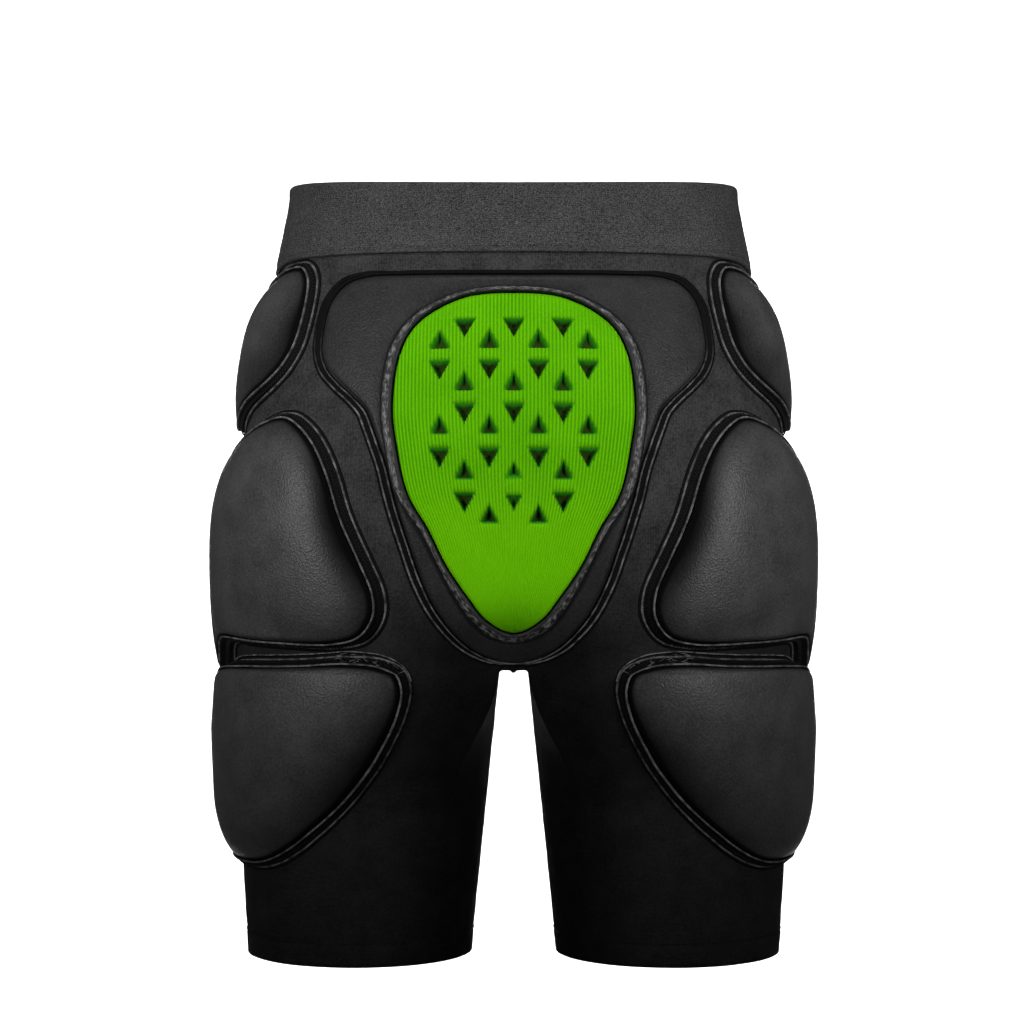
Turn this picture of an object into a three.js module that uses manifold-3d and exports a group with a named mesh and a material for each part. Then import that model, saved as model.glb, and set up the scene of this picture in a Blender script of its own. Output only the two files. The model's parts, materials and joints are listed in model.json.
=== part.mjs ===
// Padded compression shorts as they are worn: a thin stretch body, a wide elastic waistband, a padded
// seat panel with a green tailbone pad in its window, and hip and thigh pads with raised rims.
// Millimetres. +Z is up, -Y is the wearer's back and -X the wearer's left.
// The origin is the centre of the waist, half-way up the waistband.
import * as THREE from "three";
import { mergeVertices } from "three/addons/utils/BufferGeometryUtils.js";
import Module from "manifold-3d";

// Lengths of the garment, measured down from the top of the waistband
const bandHeight = 40;
const rise = 276;
const bodyLength = 448;
const gussetSag = 5;

// Half widths and depths of the body of the shorts
const waistHalfWidth = 131;
const waistBackDepth = 96;
const waistFrontDepth = 92;
const hipHalfWidth = 165;
const seatDepth = 124;
const bellyDepth = 104;
const crotchBackDepth = 112;
const crotchFrontDepth = 98;
const gussetHalfWidth = 8;
const thighBackDepth = 94;
const thighFrontDepth = 88;
const hemDepth = 68;
const hemOuterReach = 158.5;
const hemInnerReach = 25.5;

// How full the sections are, and where they change
const sectionFullness = 2.45;
const hipShare = 0.77;
const hipEase = 1.15;
const seatShare = 0.6;
const bellyShare = 0.5;
const cleftStart = 0.8;
const cleftShare = 0.24;
const cleftSpread = 42;
const thighRounding = 85;

// Cloth
const clothThickness = 2;
const bandThickness = 2.5;
const bandSideLift = 6;
const bandSideDrop = 6;
const seamOverlap = 6;
const layGap = 0.3;
const rimLay = 1;
const sideGap = 0.6;
const frameLay = 0.4;
const windowGap = 0.6;

// Pads on the hip and the thigh: heights, reaches from the side line, and thicknesses
const padSoftness = 16;
const backEdgeShare = 0.5;
const rimSideWidth = 6.5;
const rimEndWidth = 3.6;
const rimBevel = 1.2;
const hipPad = {
  drop: 47,
  height: 90,
  backReach: 83,
  frontReach: 62,
  thickness: 14.6,
  edgeAtTop: 2.5,
  edgeAtBottom: 8,
  middle: { across: 0.14, up: 0.52 },
};
const thighPad = {
  drop: 134,
  height: 148,
  backReach: 153,
  frontReach: 95,
  thickness: 17.6,
  edgeAtTop: 6,
  edgeAtBottom: 14,
  middle: { across: 0.2, up: 0.48 },
};
const lowerPad = {
  drop: 271,
  height: 118,
  backReach: 163,
  frontReach: 84,
  thickness: 17.5,
  edgeAtTop: 13.5,
  edgeAtBottom: 5,
  middle: { across: 0.27, up: 0.58 },
};

// Seat panel, tailbone pad and the frame round it
const seatPanel = { drop: 53, height: 217, halfWidth: 107, thickness: 5 };
const seatRim = { sideWidth: 5.5, endWidth: 2, height: 3.2 };
const tailbonePad = { drop: 65, height: 189, halfWidth: 66, thickness: 12, edge: 5 };
const tailboneFrame = { height: 3, innerHeight: 1.6 };
const seatMiddle = 0.55;

// Triangular dents in the tailbone pad
const dentWidth = 10;
const dentHeight = 9.6;
const dentDepth = 8;
const dentPitchAcross = 14;
const dentPitchDown = 23.6;
const dentPairShift = 6.3;
const dentDrop = 21.2;
const dentRowPairs = 5;
const dentColumnsEachSide = 3;
const dentMargin = 9;

// Steps of the faceted solids
const pelvisRows = 11;
const legRows = 7;
const sideSteps = 20;
const gussetSteps = 6;
const padSteps = 30;
const blankDepth = 3;
const moldDepth = 9;
const seatSteps = 40;
const bandRows = [0, 0.5, 1];

const top = bandHeight / 2;
const crotchLevel = top - rise;
const hemLevel = top - bodyLength;

const cloth = new THREE.MeshStandardMaterial({ color: 0x1b1b1d, roughness: 0.85 });
const padCloth = new THREE.MeshStandardMaterial({ color: 0x2b2b2d, roughness: 0.75 });
const elastic = new THREE.MeshStandardMaterial({ color: 0x343437, roughness: 0.95 });
const tape = new THREE.MeshStandardMaterial({ color: 0x161617, roughness: 0.6 });
const piping = new THREE.MeshStandardMaterial({ color: 0x29292b, roughness: 0.35 });
const greenRib = new THREE.MeshStandardMaterial({ color: 0x6cc000, roughness: 0.9 });

// Outlines, a row for each turn of the edge. "across" is a share of the reach from the side line,
// above 0 towards the back and below 0 towards the front; "up" is a share of the height.
const hipRows = [
  { across: 0, up: 0.89 },
  { across: 0.4, up: 0.94 },
  { across: 0.66, up: 1 },
  { across: 0.83, up: 1 },
  { across: 0.915, up: 0.93 },
  { across: 0.955, up: 0.84 },
  { across: 0.99, up: 0.66 },
  { across: 0.99, up: 0.49 },
  { across: 0.93, up: 0.37 },
  { across: 0.8, up: 0.275 },
  { across: 0.48, up: 0.155 },
  { across: 0.18, up: 0.055 },
  { across: -0.16, up: 0 },
  { across: -0.52, up: 0.045 },
  { across: -0.84, up: 0.23 },
  { across: -1, up: 0.5 },
  { across: -0.86, up: 0.79 },
  { across: -0.44, up: 0.92 },
];
const thighRows = [
  { across: 0.61, up: 1 },
  { across: 0.69, up: 0.966 },
  { across: 0.77, up: 0.895 },
  { across: 0.84, up: 0.786 },
  { across: 0.9, up: 0.622 },
  { across: 0.967, up: 0.453 },
  { across: 1, up: 0.344 },
  { across: 0.993, up: 0.263 },
  { across: 0.935, up: 0.186 },
  { across: 0.837, up: 0.158 },
  { across: 0.6, up: 0.158 },
  { across: 0.22, up: 0.158 },
  { across: 0.1, up: 0.115 },
  { across: 0.04, up: 0.05 },
  { across: -0.1, up: 0.006 },
  { across: -0.47, up: 0 },
  { across: -0.8, up: 0.04 },
  { across: -0.96, up: 0.173 },
  { across: -1, up: 0.351 },
  { across: -0.94, up: 0.552 },
  { across: -0.78, up: 0.708 },
  { across: -0.45, up: 0.757 },
  { across: 0, up: 0.808 },
  { across: 0.26, up: 0.883 },
  { across: 0.484, up: 0.976 },
];
const lowerRows = [
  { across: 1, up: 0.873 },
  { across: 0.988, up: 0.945 },
  { across: 0.933, up: 0.987 },
  { across: 0.834, up: 1 },
  { across: 0.663, up: 0.983 },
  { across: 0.282, up: 0.953 },
  { across: 0.18, up: 0.925 },
  { across: 0.11, up: 0.885 },
  { across: 0.03, up: 0.84 },
  { across: -0.18, up: 0.82 },
  { across: -0.6, up: 0.8 },
  { across: -0.9, up: 0.73 },
  { across: -1, up: 0.57 },
  { across: -0.93, up: 0.36 },
  { across: -0.72, up: 0.17 },
  { across: -0.4, up: 0.055 },
  { across: 0, up: 0.016 },
  { across: 0.25, up: 0 },
  { across: 0.38, up: 0.025 },
  { across: 0.485, up: 0.093 },
  { across: 0.61, up: 0.22 },
  { across: 0.748, up: 0.394 },
  { across: 0.883, up: 0.589 },
  { across: 0.975, up: 0.77 },
];
// Half outlines on the seat, from the middle of the top to the middle of the bottom. "across" is a
// share of the half width.
const panelRows = [
  { across: 0, up: 1 },
  { across: 0.56, up: 1 },
  { across: 0.76, up: 0.997 },
  { across: 0.87, up: 0.98 },
  { across: 0.95, up: 0.935 },
  { across: 0.99, up: 0.866 },
  { across: 1, up: 0.8 },
  { across: 0.972, up: 0.756 },
  { across: 0.907, up: 0.717 },
  { across: 0.832, up: 0.682 },
  { across: 0.766, up: 0.645 },
  { across: 0.729, up: 0.6 },
  { across: 0.696, up: 0.555 },
  { across: 0.659, up: 0.502 },
  { across: 0.607, up: 0.4 },
  { across: 0.533, up: 0.286 },
  { across: 0.477, up: 0.207 },
  { across: 0.411, up: 0.14 },
  { across: 0.327, up: 0.083 },
  { across: 0.234, up: 0.039 },
  { across: 0.12, up: 0.009 },
  { across: 0, up: 0 },
];
const tailboneRows = [
  { across: 0, up: 1 },
  { across: 0.44, up: 0.983 },
  { across: 0.8, up: 0.908 },
  { across: 0.942, up: 0.819 },
  { across: 1, up: 0.663 },
  { across: 0.97, up: 0.561 },
  { across: 0.873, up: 0.413 },
  { across: 0.706, up: 0.311 },
  { across: 0.561, up: 0.208 },
  { across: 0.394, up: 0.121 },
  { across: 0.227, up: 0.055 },
  { across: 0, up: 0.022 },
];
const frameRows = [
  { across: 0, up: 1.024 },
  { across: 0.5, up: 1 },
  { across: 0.87, up: 0.925 },
  { across: 1.04, up: 0.834 },
  { across: 1.11, up: 0.722 },
  { across: 1.12, up: 0.604 },
  { across: 1.07, up: 0.5 },
  { across: 0.95, up: 0.39 },
  { across: 0.8, up: 0.318 },
  { across: 0.674, up: 0.235 },
  { across: 0.56, up: 0.15 },
  { across: 0.45, up: 0.085 },
  { across: 0.29, up: 0.022 },
  { across: 0, up: -0.004 },
];

// A smooth step from 0 to 1 as value goes from start to end
function ease(start, end, value) {
  const share = THREE.MathUtils.clamp((value - start) / (end - start), 0, 1);
  return share * share * (3 - 2 * share);
}

// Half width, back depth, front depth and cleft of the section at a height above the crotch
function pelvisSection(z) {
  const share = (top - Math.max(z, crotchLevel)) / rise;
  const flare = Math.sin((Math.PI / 2) * Math.min(1, Math.max(0, share / hipShare)) ** hipEase);
  const seat = ease(0, seatShare, share);
  const tuck = ease(seatShare, 1.05, share);
  const belly = ease(0, bellyShare, share);
  const groin = ease(bellyShare, 1, share);
  return {
    halfWidth: waistHalfWidth + (hipHalfWidth - waistHalfWidth) * flare,
    back:
      waistBackDepth + (seatDepth - waistBackDepth) * seat - (seatDepth - crotchBackDepth) * tuck,
    front:
      waistFrontDepth +
      (bellyDepth - waistFrontDepth) * belly -
      (bellyDepth - crotchFrontDepth) * groin,
    cleft: cleftShare * ease(cleftStart, 1, share) ** 2,
  };
}

// Outer and inner reach and depths of a leg's section at a height below the crotch
function legSection(z) {
  const share = THREE.MathUtils.clamp((crotchLevel - z) / (crotchLevel - hemLevel), 0, 1);
  const taper = share ** 0.8;
  return {
    outer: hipHalfWidth + (hemOuterReach - hipHalfWidth) * share ** 2,
    inner: gussetHalfWidth + (hemInnerReach - gussetHalfWidth) * share,
    back: thighBackDepth + (hemDepth - thighBackDepth) * taper,
    front: thighFrontDepth + (hemDepth - thighFrontDepth) * taper,
    rounding: ease(0, thighRounding, crotchLevel - z),
  };
}

// A point of the pelvis's section: turn 0 is the middle of the back, a quarter turn the side line
// and a half turn the middle of the front
function pelvisPoint(turn, z) {
  const section = pelvisSection(z);
  const power = 2 / sectionFullness;
  const side = Math.sin(turn);
  const x = section.halfWidth * Math.sign(side) * Math.abs(side) ** power;
  const depth = Math.cos(turn) > 0 ? -section.back : section.front;
  const cleft = 1 - section.cleft * Math.exp(-((x / cleftSpread) ** 2));
  return new THREE.Vector3(x, depth * Math.abs(Math.cos(turn)) ** power * cleft, z);
}

// A point of the flat-sided section just under the crotch, drawn round as it goes down the leg
function rounded(x, y, z, leg) {
  const centre = (leg.outer + leg.inner) / 2;
  const half = (leg.outer - leg.inner) / 2;
  const depth = y > 0 ? leg.front : leg.back;
  const angle = Math.atan2(y / depth, (x - centre) / half);
  const round = new THREE.Vector3(centre + half * Math.cos(angle), depth * Math.sin(angle), z);
  return new THREE.Vector3(x, y, z).lerp(round, leg.rounding);
}

// The right half of the body's outer surface, on the pelvis and on down the outside of the leg
function skinPoint(turn, z) {
  const point = pelvisPoint(turn, z);
  if (z >= crotchLevel) return point;
  const leg = legSection(z);
  const stretch = (leg.outer - leg.inner) / (hipHalfWidth - gussetHalfWidth);
  return rounded(leg.inner + (point.x - gussetHalfWidth) * stretch, point.y, z, leg);
}

function skinNormal(turn, z) {
  const step = 1e-3;
  const reach = 0.5;
  const along = skinPoint(turn + step, z).sub(skinPoint(turn - step, z));
  const up = skinPoint(turn, z + reach).sub(skinPoint(turn, z - reach));
  return along.cross(up).normalize();
}

function raised(turn, z, height) {
  return skinPoint(turn, z).addScaledVector(skinNormal(turn, z), height);
}

// The turn at which the pelvis's section is this far from the middle of the back
function turnAcross(x, z) {
  const share = Math.min(1, Math.abs(x) / pelvisSection(z).halfWidth);
  return Math.asin(share ** (sectionFullness / 2));
}

// The turn that lies an arc length from the side line, above 0 towards the back
function turnAlong(arc, z) {
  const step = Math.PI / 240;
  const direction = arc > 0 ? -1 : 1;
  let left = Math.abs(arc);
  let turn = Math.PI / 2;
  let point = skinPoint(turn, z);
  while (turn > step && turn < Math.PI - step) {
    const next = skinPoint(turn + direction * step, z);
    const length = next.distanceTo(point);
    if (length >= left) return turn + (direction * step * left) / length;
    left -= length;
    turn += direction * step;
    point = next;
  }
  return turn;
}

// Charts from flat coordinates to the skin: one on the side of the hip and leg, one on the seat
function onSide(arc, z, height) {
  return raised(turnAlong(arc, z), z, height);
}

function onSeat(x, z, height) {
  const point = raised(turnAcross(x, z), z, height);
  return x < 0 ? point.multiply(new THREE.Vector3(-1, 1, 1)) : point;
}

// Two triangles for each cell between neighbouring rows of points, leaving out flat ones
function weave(rows, { loop = false, wrap = false } = {}) {
  const positions = [];
  const add = (a, b, c) => {
    if (a.distanceTo(b) < 1e-4 || b.distanceTo(c) < 1e-4 || c.distanceTo(a) < 1e-4) return;
    positions.push(...a.toArray(), ...b.toArray(), ...c.toArray());
  };
  const rowCount = wrap ? rows.length : rows.length - 1;
  for (let i = 0; i < rowCount; i++) {
    const row = rows[i];
    const next = rows[(i + 1) % rows.length];
    const cells = loop ? row.length : row.length - 1;
    for (let k = 0; k < cells; k++) {
      const after = (k + 1) % row.length;
      add(row[k], next[after], row[after]);
      add(row[k], next[k], next[after]);
    }
  }
  return positions;
}

function welded(positions) {
  const geometry = new THREE.BufferGeometry();
  geometry.setAttribute("position", new THREE.Float32BufferAttribute(positions, 3));
  return mergeVertices(geometry, 1e-3);
}

function turnedOver(index) {
  const turned = [];
  for (let i = 0; i < index.length; i += 3) turned.push(index[i], index[i + 2], index[i + 1]);
  return turned;
}

// Faces a closed geometry outwards, by the sign of its volume
function facingOut(geometry) {
  const index = Array.from(geometry.index.array);
  const corner = [0, 1, 2].map(() => new THREE.Vector3());
  let volume = 0;
  for (let i = 0; i < index.length; i += 3) {
    corner.forEach((v, k) => v.fromBufferAttribute(geometry.attributes.position, index[i + k]));
    volume += corner[0].dot(corner[1].clone().cross(corner[2]));
  }
  if (volume < 0) geometry.setIndex(turnedOver(index));
  return geometry;
}

function solidOf(rows, options) {
  return facingOut(welded(weave(rows, options)));
}

// Gives an open sheet of cloth its thickness inwards and closes its edges
function thickened(sheet, thickness) {
  sheet.computeVertexNormals();
  const { position, normal } = sheet.attributes;
  const index = Array.from(sheet.index.array);
  const count = position.count;
  const points = Array.from(position.array);
  for (let i = 0; i < count; i++) {
    const inward = new THREE.Vector3().fromBufferAttribute(normal, i).multiplyScalar(-thickness);
    const point = new THREE.Vector3().fromBufferAttribute(position, i).add(inward);
    points.push(...point.toArray());
  }
  const edges = new Set();
  for (let i = 0; i < index.length; i += 3)
    for (let k = 0; k < 3; k++) edges.add(`${index[i + k]},${index[i + ((k + 1) % 3)]}`);
  const faces = [...index, ...turnedOver(index).map((i) => i + count)];
  for (const edge of edges) {
    const [a, b] = edge.split(",").map(Number);
    if (edges.has(`${b},${a}`)) continue;
    faces.push(b, a, a + count, b, a + count, b + count);
  }
  const geometry = new THREE.BufferGeometry();
  geometry.setAttribute("position", new THREE.Float32BufferAttribute(points, 3));
  geometry.setIndex(faces);
  return facingOut(geometry);
}

function range(count) {
  return Array.from({ length: count + 1 }, (_, i) => i / count);
}

// A share of a quarter turn that spaces columns evenly round the full-cornered section
function evenShare(share) {
  const power = sectionFullness / 2;
  return share ** power / (share ** power + (1 - share) ** power);
}

// Turns of the columns round one half, with one on the gusset's edge at the back and the front
function halfTurns(z, halfWidth) {
  const edge = Math.asin((gussetHalfWidth / halfWidth) ** (sectionFullness / 2));
  const quarter = Math.PI / 2 - edge;
  const back = range(sideSteps / 2).map((share) => edge + quarter * evenShare(share));
  const front = back.slice(0, -1).map((turn) => Math.PI - turn);
  const side = [...back, ...front.reverse()];
  return z > crotchLevel - 1e-6 ? [0, ...side, Math.PI] : side;
}

// A point on the inside of the thigh, from the back of the gusset's edge to its front
function innerThighPoint(share, row) {
  const crotchTurns = halfTurns(hemLevel, hipHalfWidth);
  const back = pelvisPoint(crotchTurns[0], crotchLevel);
  const front = pelvisPoint(crotchTurns[sideSteps], crotchLevel);
  const level = crotchLevel + (hemLevel - crotchLevel) * row;
  const z = level - gussetSag * Math.sin(Math.PI * share) * (1 - row);
  const leg = legSection(z);
  return rounded(leg.inner, THREE.MathUtils.lerp(back.y, front.y, share), z, leg);
}

// Triangles of the left half from those of the right half, facing the same way
function mirrored(positions) {
  const turned = [];
  for (let i = 0; i < positions.length; i += 9)
    for (const corner of [0, 6, 3]) {
      const [x, y, z] = positions.slice(i + corner, i + corner + 3);
      turned.push(-x, y, z);
    }
  return turned;
}

// The outer surface of the pelvis and both legs, open at the waist and the hems
function bodySheet() {
  const seam = top - bandHeight + seamOverlap;
  const pelvis = range(pelvisRows).map((share) => {
    const z = seam + (crotchLevel - seam) * (1 - (1 - share) ** 1.35);
    return halfTurns(z, pelvisSection(z).halfWidth).map((turn) => skinPoint(turn, z));
  });
  const outerLeg = range(legRows).map((row) => {
    const z = crotchLevel + (hemLevel - crotchLevel) * row;
    return halfTurns(hemLevel, hipHalfWidth).map((turn) => skinPoint(turn, z));
  });
  const innerLeg = range(legRows).map((row) =>
    range(gussetSteps)
      .map((share) => innerThighPoint(share, row))
      .reverse(),
  );
  const ends = [0, Math.PI].map((turn) => pelvisPoint(turn, crotchLevel).y);
  const gusset = range(gussetSteps).map((share) => {
    const edge = innerThighPoint(share, 0);
    const middle = new THREE.Vector3(0, THREE.MathUtils.lerp(...ends, share), edge.z);
    return [middle, edge];
  });
  const half = [pelvis, outerLeg, innerLeg, gusset].flatMap((rows) => weave(rows));
  return welded([...half, ...mirrored(half)]);
}

// A copy of a sheet, moved out along its normals
function movedOut(sheet, distance) {
  const copy = sheet.clone();
  copy.computeVertexNormals();
  const { position, normal } = copy.attributes;
  for (let i = 0; i < position.count; i++) {
    const out = new THREE.Vector3().fromBufferAttribute(normal, i).multiplyScalar(distance);
    position.setXYZ(i, position.getX(i) + out.x, position.getY(i) + out.y, position.getZ(i) + out.z);
  }
  return copy;
}

// The elastic band over the body's top edge
function waistbandGeometry() {
  const turns = halfTurns(top, waistHalfWidth);
  const rows = bandRows.map((share) => {
    const outside = layGap + bandThickness;
    return turns.map((turn) => {
      const lift = bandSideLift * Math.sin(turn) ** 2;
      const drop = bandSideDrop * Math.sin(turn) ** 20;
      return raised(turn, THREE.MathUtils.lerp(top - bandHeight - drop, top + lift, share), outside);
    });
  });
  const half = weave(rows.reverse());
  return thickened(welded([...half, ...mirrored(half)]), bandThickness);
}

// A closed, evenly stepped outline through the rows of a table
function outlineOf(rows, place, steps) {
  const points = rows.map((row) => new THREE.Vector3(...place(row), 0));
  return new THREE.CatmullRomCurve3(points, true, "centripetal").getSpacedPoints(steps).slice(0, -1);
}

// Unit vectors that point out of an outline, at each of its points
function outwards(outline) {
  const middle = outline.reduce((sum, p) => sum.add(p), new THREE.Vector3());
  middle.divideScalar(outline.length);
  return outline.map((point, i) => {
    const before = outline[(i + outline.length - 1) % outline.length];
    const after = outline[(i + 1) % outline.length];
    const normal = new THREE.Vector3(after.y - before.y, before.x - after.x, 0).normalize();
    return normal.dot(point.clone().sub(middle)) < 0 ? normal.negate() : normal;
  });
}

function padPlace(pad) {
  return ({ across, up }) => [
    across * (across > 0 ? pad.backReach : pad.frontReach),
    top - pad.drop - pad.height * (1 - up),
  ];
}

// A pad's edge grows thicker downwards, and is thinner where it faces the middle of the back
function edgeHeight(pad, z, normal) {
  const down = THREE.MathUtils.clamp((top - pad.drop - z) / pad.height, 0, 1);
  const thinned = THREE.MathUtils.lerp(1, backEdgeShare, Math.max(0, normal.x));
  return THREE.MathUtils.lerp(pad.edgeAtTop, pad.edgeAtBottom, down) * thinned;
}

// A foam pad: flat against the skin below, rising from its edge to its full thickness above
function padGeometry(pad, outline) {
  const middle = new THREE.Vector3(...padPlace(pad)(pad.middle), 0);
  const normals = outwards(outline);
  const ring = (share, height) =>
    outline.map((edge, i) => {
      const point = edge.clone().lerp(middle, share);
      const inset = share < 1 ? point.distanceTo(edge) : Infinity;
      return onSide(point.x, point.y, layGap + height(inset, point.y, normals[i]));
    });
  const crown = (inset, z, normal) => {
    const edge = edgeHeight(pad, z, normal);
    return edge + (pad.thickness - edge) * (1 - Math.exp(-inset / padSoftness));
  };
  const over = [1, 0.5, 0.16, 0].map((share) => ring(share, crown));
  const under = [0, 0.33, 0.66, 1].map((share) => ring(share, () => -blankDepth));
  return laid(solidOf([...over, ...under], { loop: true }));
}

// The taped wall round a pad, sloping from the seam on the cloth up to the pad's edge
function rimGeometry(pad, outline) {
  const normals = outwards(outline);
  const rail = (outset, height) =>
    outline.map((edge, i) => {
      const width = THREE.MathUtils.lerp(rimEndWidth, rimSideWidth, Math.abs(normals[i].x));
      const point = edge.clone().addScaledVector(normals[i], outset(width));
      return onSide(point.x, point.y, rimLay + height(edgeHeight(pad, point.y, normals[i])));
    });
  const rails = [
    rail((width) => width + sideGap, () => 0),
    rail((width) => width + sideGap - rimBevel, (edge) => edge * 0.45),
    rail(() => sideGap, (edge) => edge * 0.95),
    rail(() => sideGap, () => 0),
  ];
  return solidOf(rails, { loop: true, wrap: true });
}

// A closed outline on the seat from a table of its right half
function seatOutline(rows, piece) {
  const bottom = top - piece.drop - piece.height;
  const right = rows.map(({ across, up }) => [across * piece.halfWidth, bottom + up * piece.height]);
  const left = right.slice(1, -1).map(([x, z]) => [-x, z]);
  const points = [...right, ...left.reverse()].map(([x, z]) => new THREE.Vector3(x, z, 0));
  return new THREE.CatmullRomCurve3(points, true, "centripetal").getSpacedPoints(400);
}

// Where rays from the middle of the seat, evenly turned, cross an outline
function alongRays(outline) {
  const middle = new THREE.Vector3(0, top - tailbonePad.drop - tailbonePad.height * (1 - seatMiddle), 0);
  const polar = outline.map((point) => {
    const ray = point.clone().sub(middle);
    return { angle: Math.atan2(ray.x, ray.y), length: ray.length() };
  });
  polar.sort((a, b) => a.angle - b.angle);
  const spread = [...polar.slice(-2).map(({ angle, length }) => ({ angle: angle - 2 * Math.PI, length }))];
  spread.push(...polar, ...polar.slice(0, 2).map((p) => ({ ...p, angle: p.angle + 2 * Math.PI })));
  return range(seatSteps)
    .slice(0, -1)
    .map((share) => {
      const angle = (share * 2 - 1) * Math.PI;
      const next = spread.findIndex((p, i) => i > 0 && p.angle >= angle);
      const [a, b] = [spread[next - 1], spread[next]];
      const mix = (angle - a.angle) / Math.max(b.angle - a.angle, 1e-9);
      const length = THREE.MathUtils.lerp(a.length, b.length, mix);
      const ray = new THREE.Vector3(Math.sin(angle), Math.cos(angle), 0);
      return middle.clone().addScaledVector(ray, length);
    });
}

function grown(outline, distance) {
  const normals = outwards(outline);
  return outline.map((point, i) => {
    const out = typeof distance === "function" ? distance(normals[i]) : distance;
    return point.clone().addScaledVector(normals[i], out);
  });
}

function seatRing(points, height) {
  return points.map((point) => onSeat(point.x, point.y, height));
}

function between(inner, outer, share) {
  return inner.map((point, i) => point.clone().lerp(outer[i], share));
}

const panelEdge = alongRays(seatOutline(panelRows, seatPanel));
const tailboneEdge = alongRays(seatOutline(tailboneRows, tailbonePad));
const frameEdge = alongRays(seatOutline(frameRows, tailbonePad));

// The padded panel over the seat, with a window for the tailbone pad
function seatPanelGeometry() {
  const window = grown(tailboneEdge, windowGap);
  const face = layGap + seatPanel.thickness;
  const rails = [
    seatRing(panelEdge, -blankDepth),
    seatRing(panelEdge, layGap + seatPanel.thickness * 0.7),
    seatRing(between(panelEdge, frameEdge, 0.2), face),
    seatRing(between(panelEdge, frameEdge, 0.6), face),
    seatRing(frameEdge, face),
    seatRing(window, face),
    seatRing(window, -blankDepth),
    seatRing(between(panelEdge, window, 0.5), -blankDepth),
  ];
  return laid(solidOf(rails, { loop: true, wrap: true }));
}

// The flat tape sewn round the seat panel
function seatRimGeometry() {
  const width = (normal) =>
    THREE.MathUtils.lerp(seatRim.endWidth, seatRim.sideWidth, Math.abs(normal.x));
  const outer = grown(panelEdge, (normal) => sideGap + width(normal));
  const inner = grown(panelEdge, sideGap);
  const rails = [
    seatRing(outer, -blankDepth),
    seatRing(outer, layGap + seatRim.height * 0.4),
    seatRing(inner, layGap + seatRim.height),
    seatRing(inner, -blankDepth),
  ];
  return laid(solidOf(rails, { loop: true, wrap: true }));
}

// The piping frame that lies on the seat panel round the tailbone pad
function frameGeometry() {
  const base = layGap + seatPanel.thickness + frameLay;
  const inner = grown(tailboneEdge, windowGap);
  const rails = [
    seatRing(inner, base),
    seatRing(inner, base + tailboneFrame.innerHeight),
    seatRing(between(frameEdge, inner, 0.5), base + tailboneFrame.height),
    seatRing(between(frameEdge, inner, 0.15), base + tailboneFrame.height),
    seatRing(frameEdge, base),
  ];
  return solidOf(rails, { loop: true, wrap: true });
}

// Places of the triangular dents: pairs of rows, one pointing down and one up, in turned columns
function dentPlaces() {
  const places = [];
  const bottom = top - tailbonePad.drop - tailbonePad.height;
  for (let pair = 0; pair < dentRowPairs; pair++)
    for (let column = -dentColumnsEachSide; column <= dentColumnsEachSide; column++) {
      const pointsDown = (pair + column) % 2 === 0;
      const x = column * dentPitchAcross;
      const z =
        top - tailbonePad.drop - dentDrop - pair * dentPitchDown - (pointsDown ? 0 : dentPairShift);
      const reach = dentRoom(z - dentHeight / 2, bottom);
      if (Math.abs(x) + dentWidth / 2 + dentMargin < reach) places.push({ x, z, pointsDown });
    }
  return places;
}

// Half width of the tailbone pad at a height
function dentRoom(z, bottom) {
  const up = (z - bottom) / tailbonePad.height;
  const below = tailboneRows.findIndex((row) => row.up <= up);
  const [a, b] = [tailboneRows[Math.max(below - 1, 0)], tailboneRows[Math.max(below, 1)]];
  const share = (a.up - up) / Math.max(a.up - b.up, 1e-9);
  return THREE.MathUtils.lerp(a.across, b.across, share) * tailbonePad.halfWidth;
}

// A triangular cutter that stands on the pad's face and reaches the dent's depth into it
function dentCutter({ x, z, pointsDown }) {
  const tip = pointsDown ? -1 : 1;
  const shape = new THREE.Shape();
  shape.moveTo(-dentWidth / 2, (-tip * dentHeight) / 2);
  shape.lineTo(dentWidth / 2, (-tip * dentHeight) / 2);
  shape.lineTo(0, (tip * dentHeight) / 2);
  const length = dentDepth * 2;
  const geometry = new THREE.ExtrudeGeometry(shape, { depth: length, bevelEnabled: false });
  const face = onSeat(x, z, layGap + tailbonePad.thickness);
  const outward = onSeat(x, z, 1).sub(onSeat(x, z, 0)).normalize();
  const across = new THREE.Vector3(1, 0, 0).addScaledVector(outward, -outward.x).normalize();
  const up = outward.clone().cross(across);
  const turn = new THREE.Matrix4().makeBasis(across, up, outward);
  turn.setPosition(face.addScaledVector(outward, -dentDepth));
  return geometry.applyMatrix4(turn);
}

const wasm = await Module();
wasm.setup();

function asManifold(geometry) {
  const bare = geometry.clone();
  bare.deleteAttribute("normal");
  bare.deleteAttribute("uv");
  const merged = mergeVertices(bare, 1e-3);
  return new wasm.Manifold(
    new wasm.Mesh({
      numProp: 3,
      vertProperties: merged.attributes.position.array,
      triVerts: new Uint32Array(merged.index.array),
    }),
  );
}

function asGeometry(manifold) {
  const mesh = manifold.getMesh();
  const geometry = new THREE.BufferGeometry();
  geometry.setAttribute("position", new THREE.BufferAttribute(mesh.vertProperties, 3));
  geometry.setIndex(new THREE.BufferAttribute(mesh.triVerts, 1));
  return geometry;
}

const sheet = bodySheet();
const mold = asManifold(thickened(movedOut(sheet, layGap), moldDepth));

// Cuts a blank's underside to the shape of the cloth that it is sewn on, and keeps what lies outside
function laid(blank) {
  const bodies = asManifold(blank).subtract(mold).decompose();
  return asGeometry(bodies.sort((a, b) => b.volume() - a.volume())[0]);
}

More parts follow.
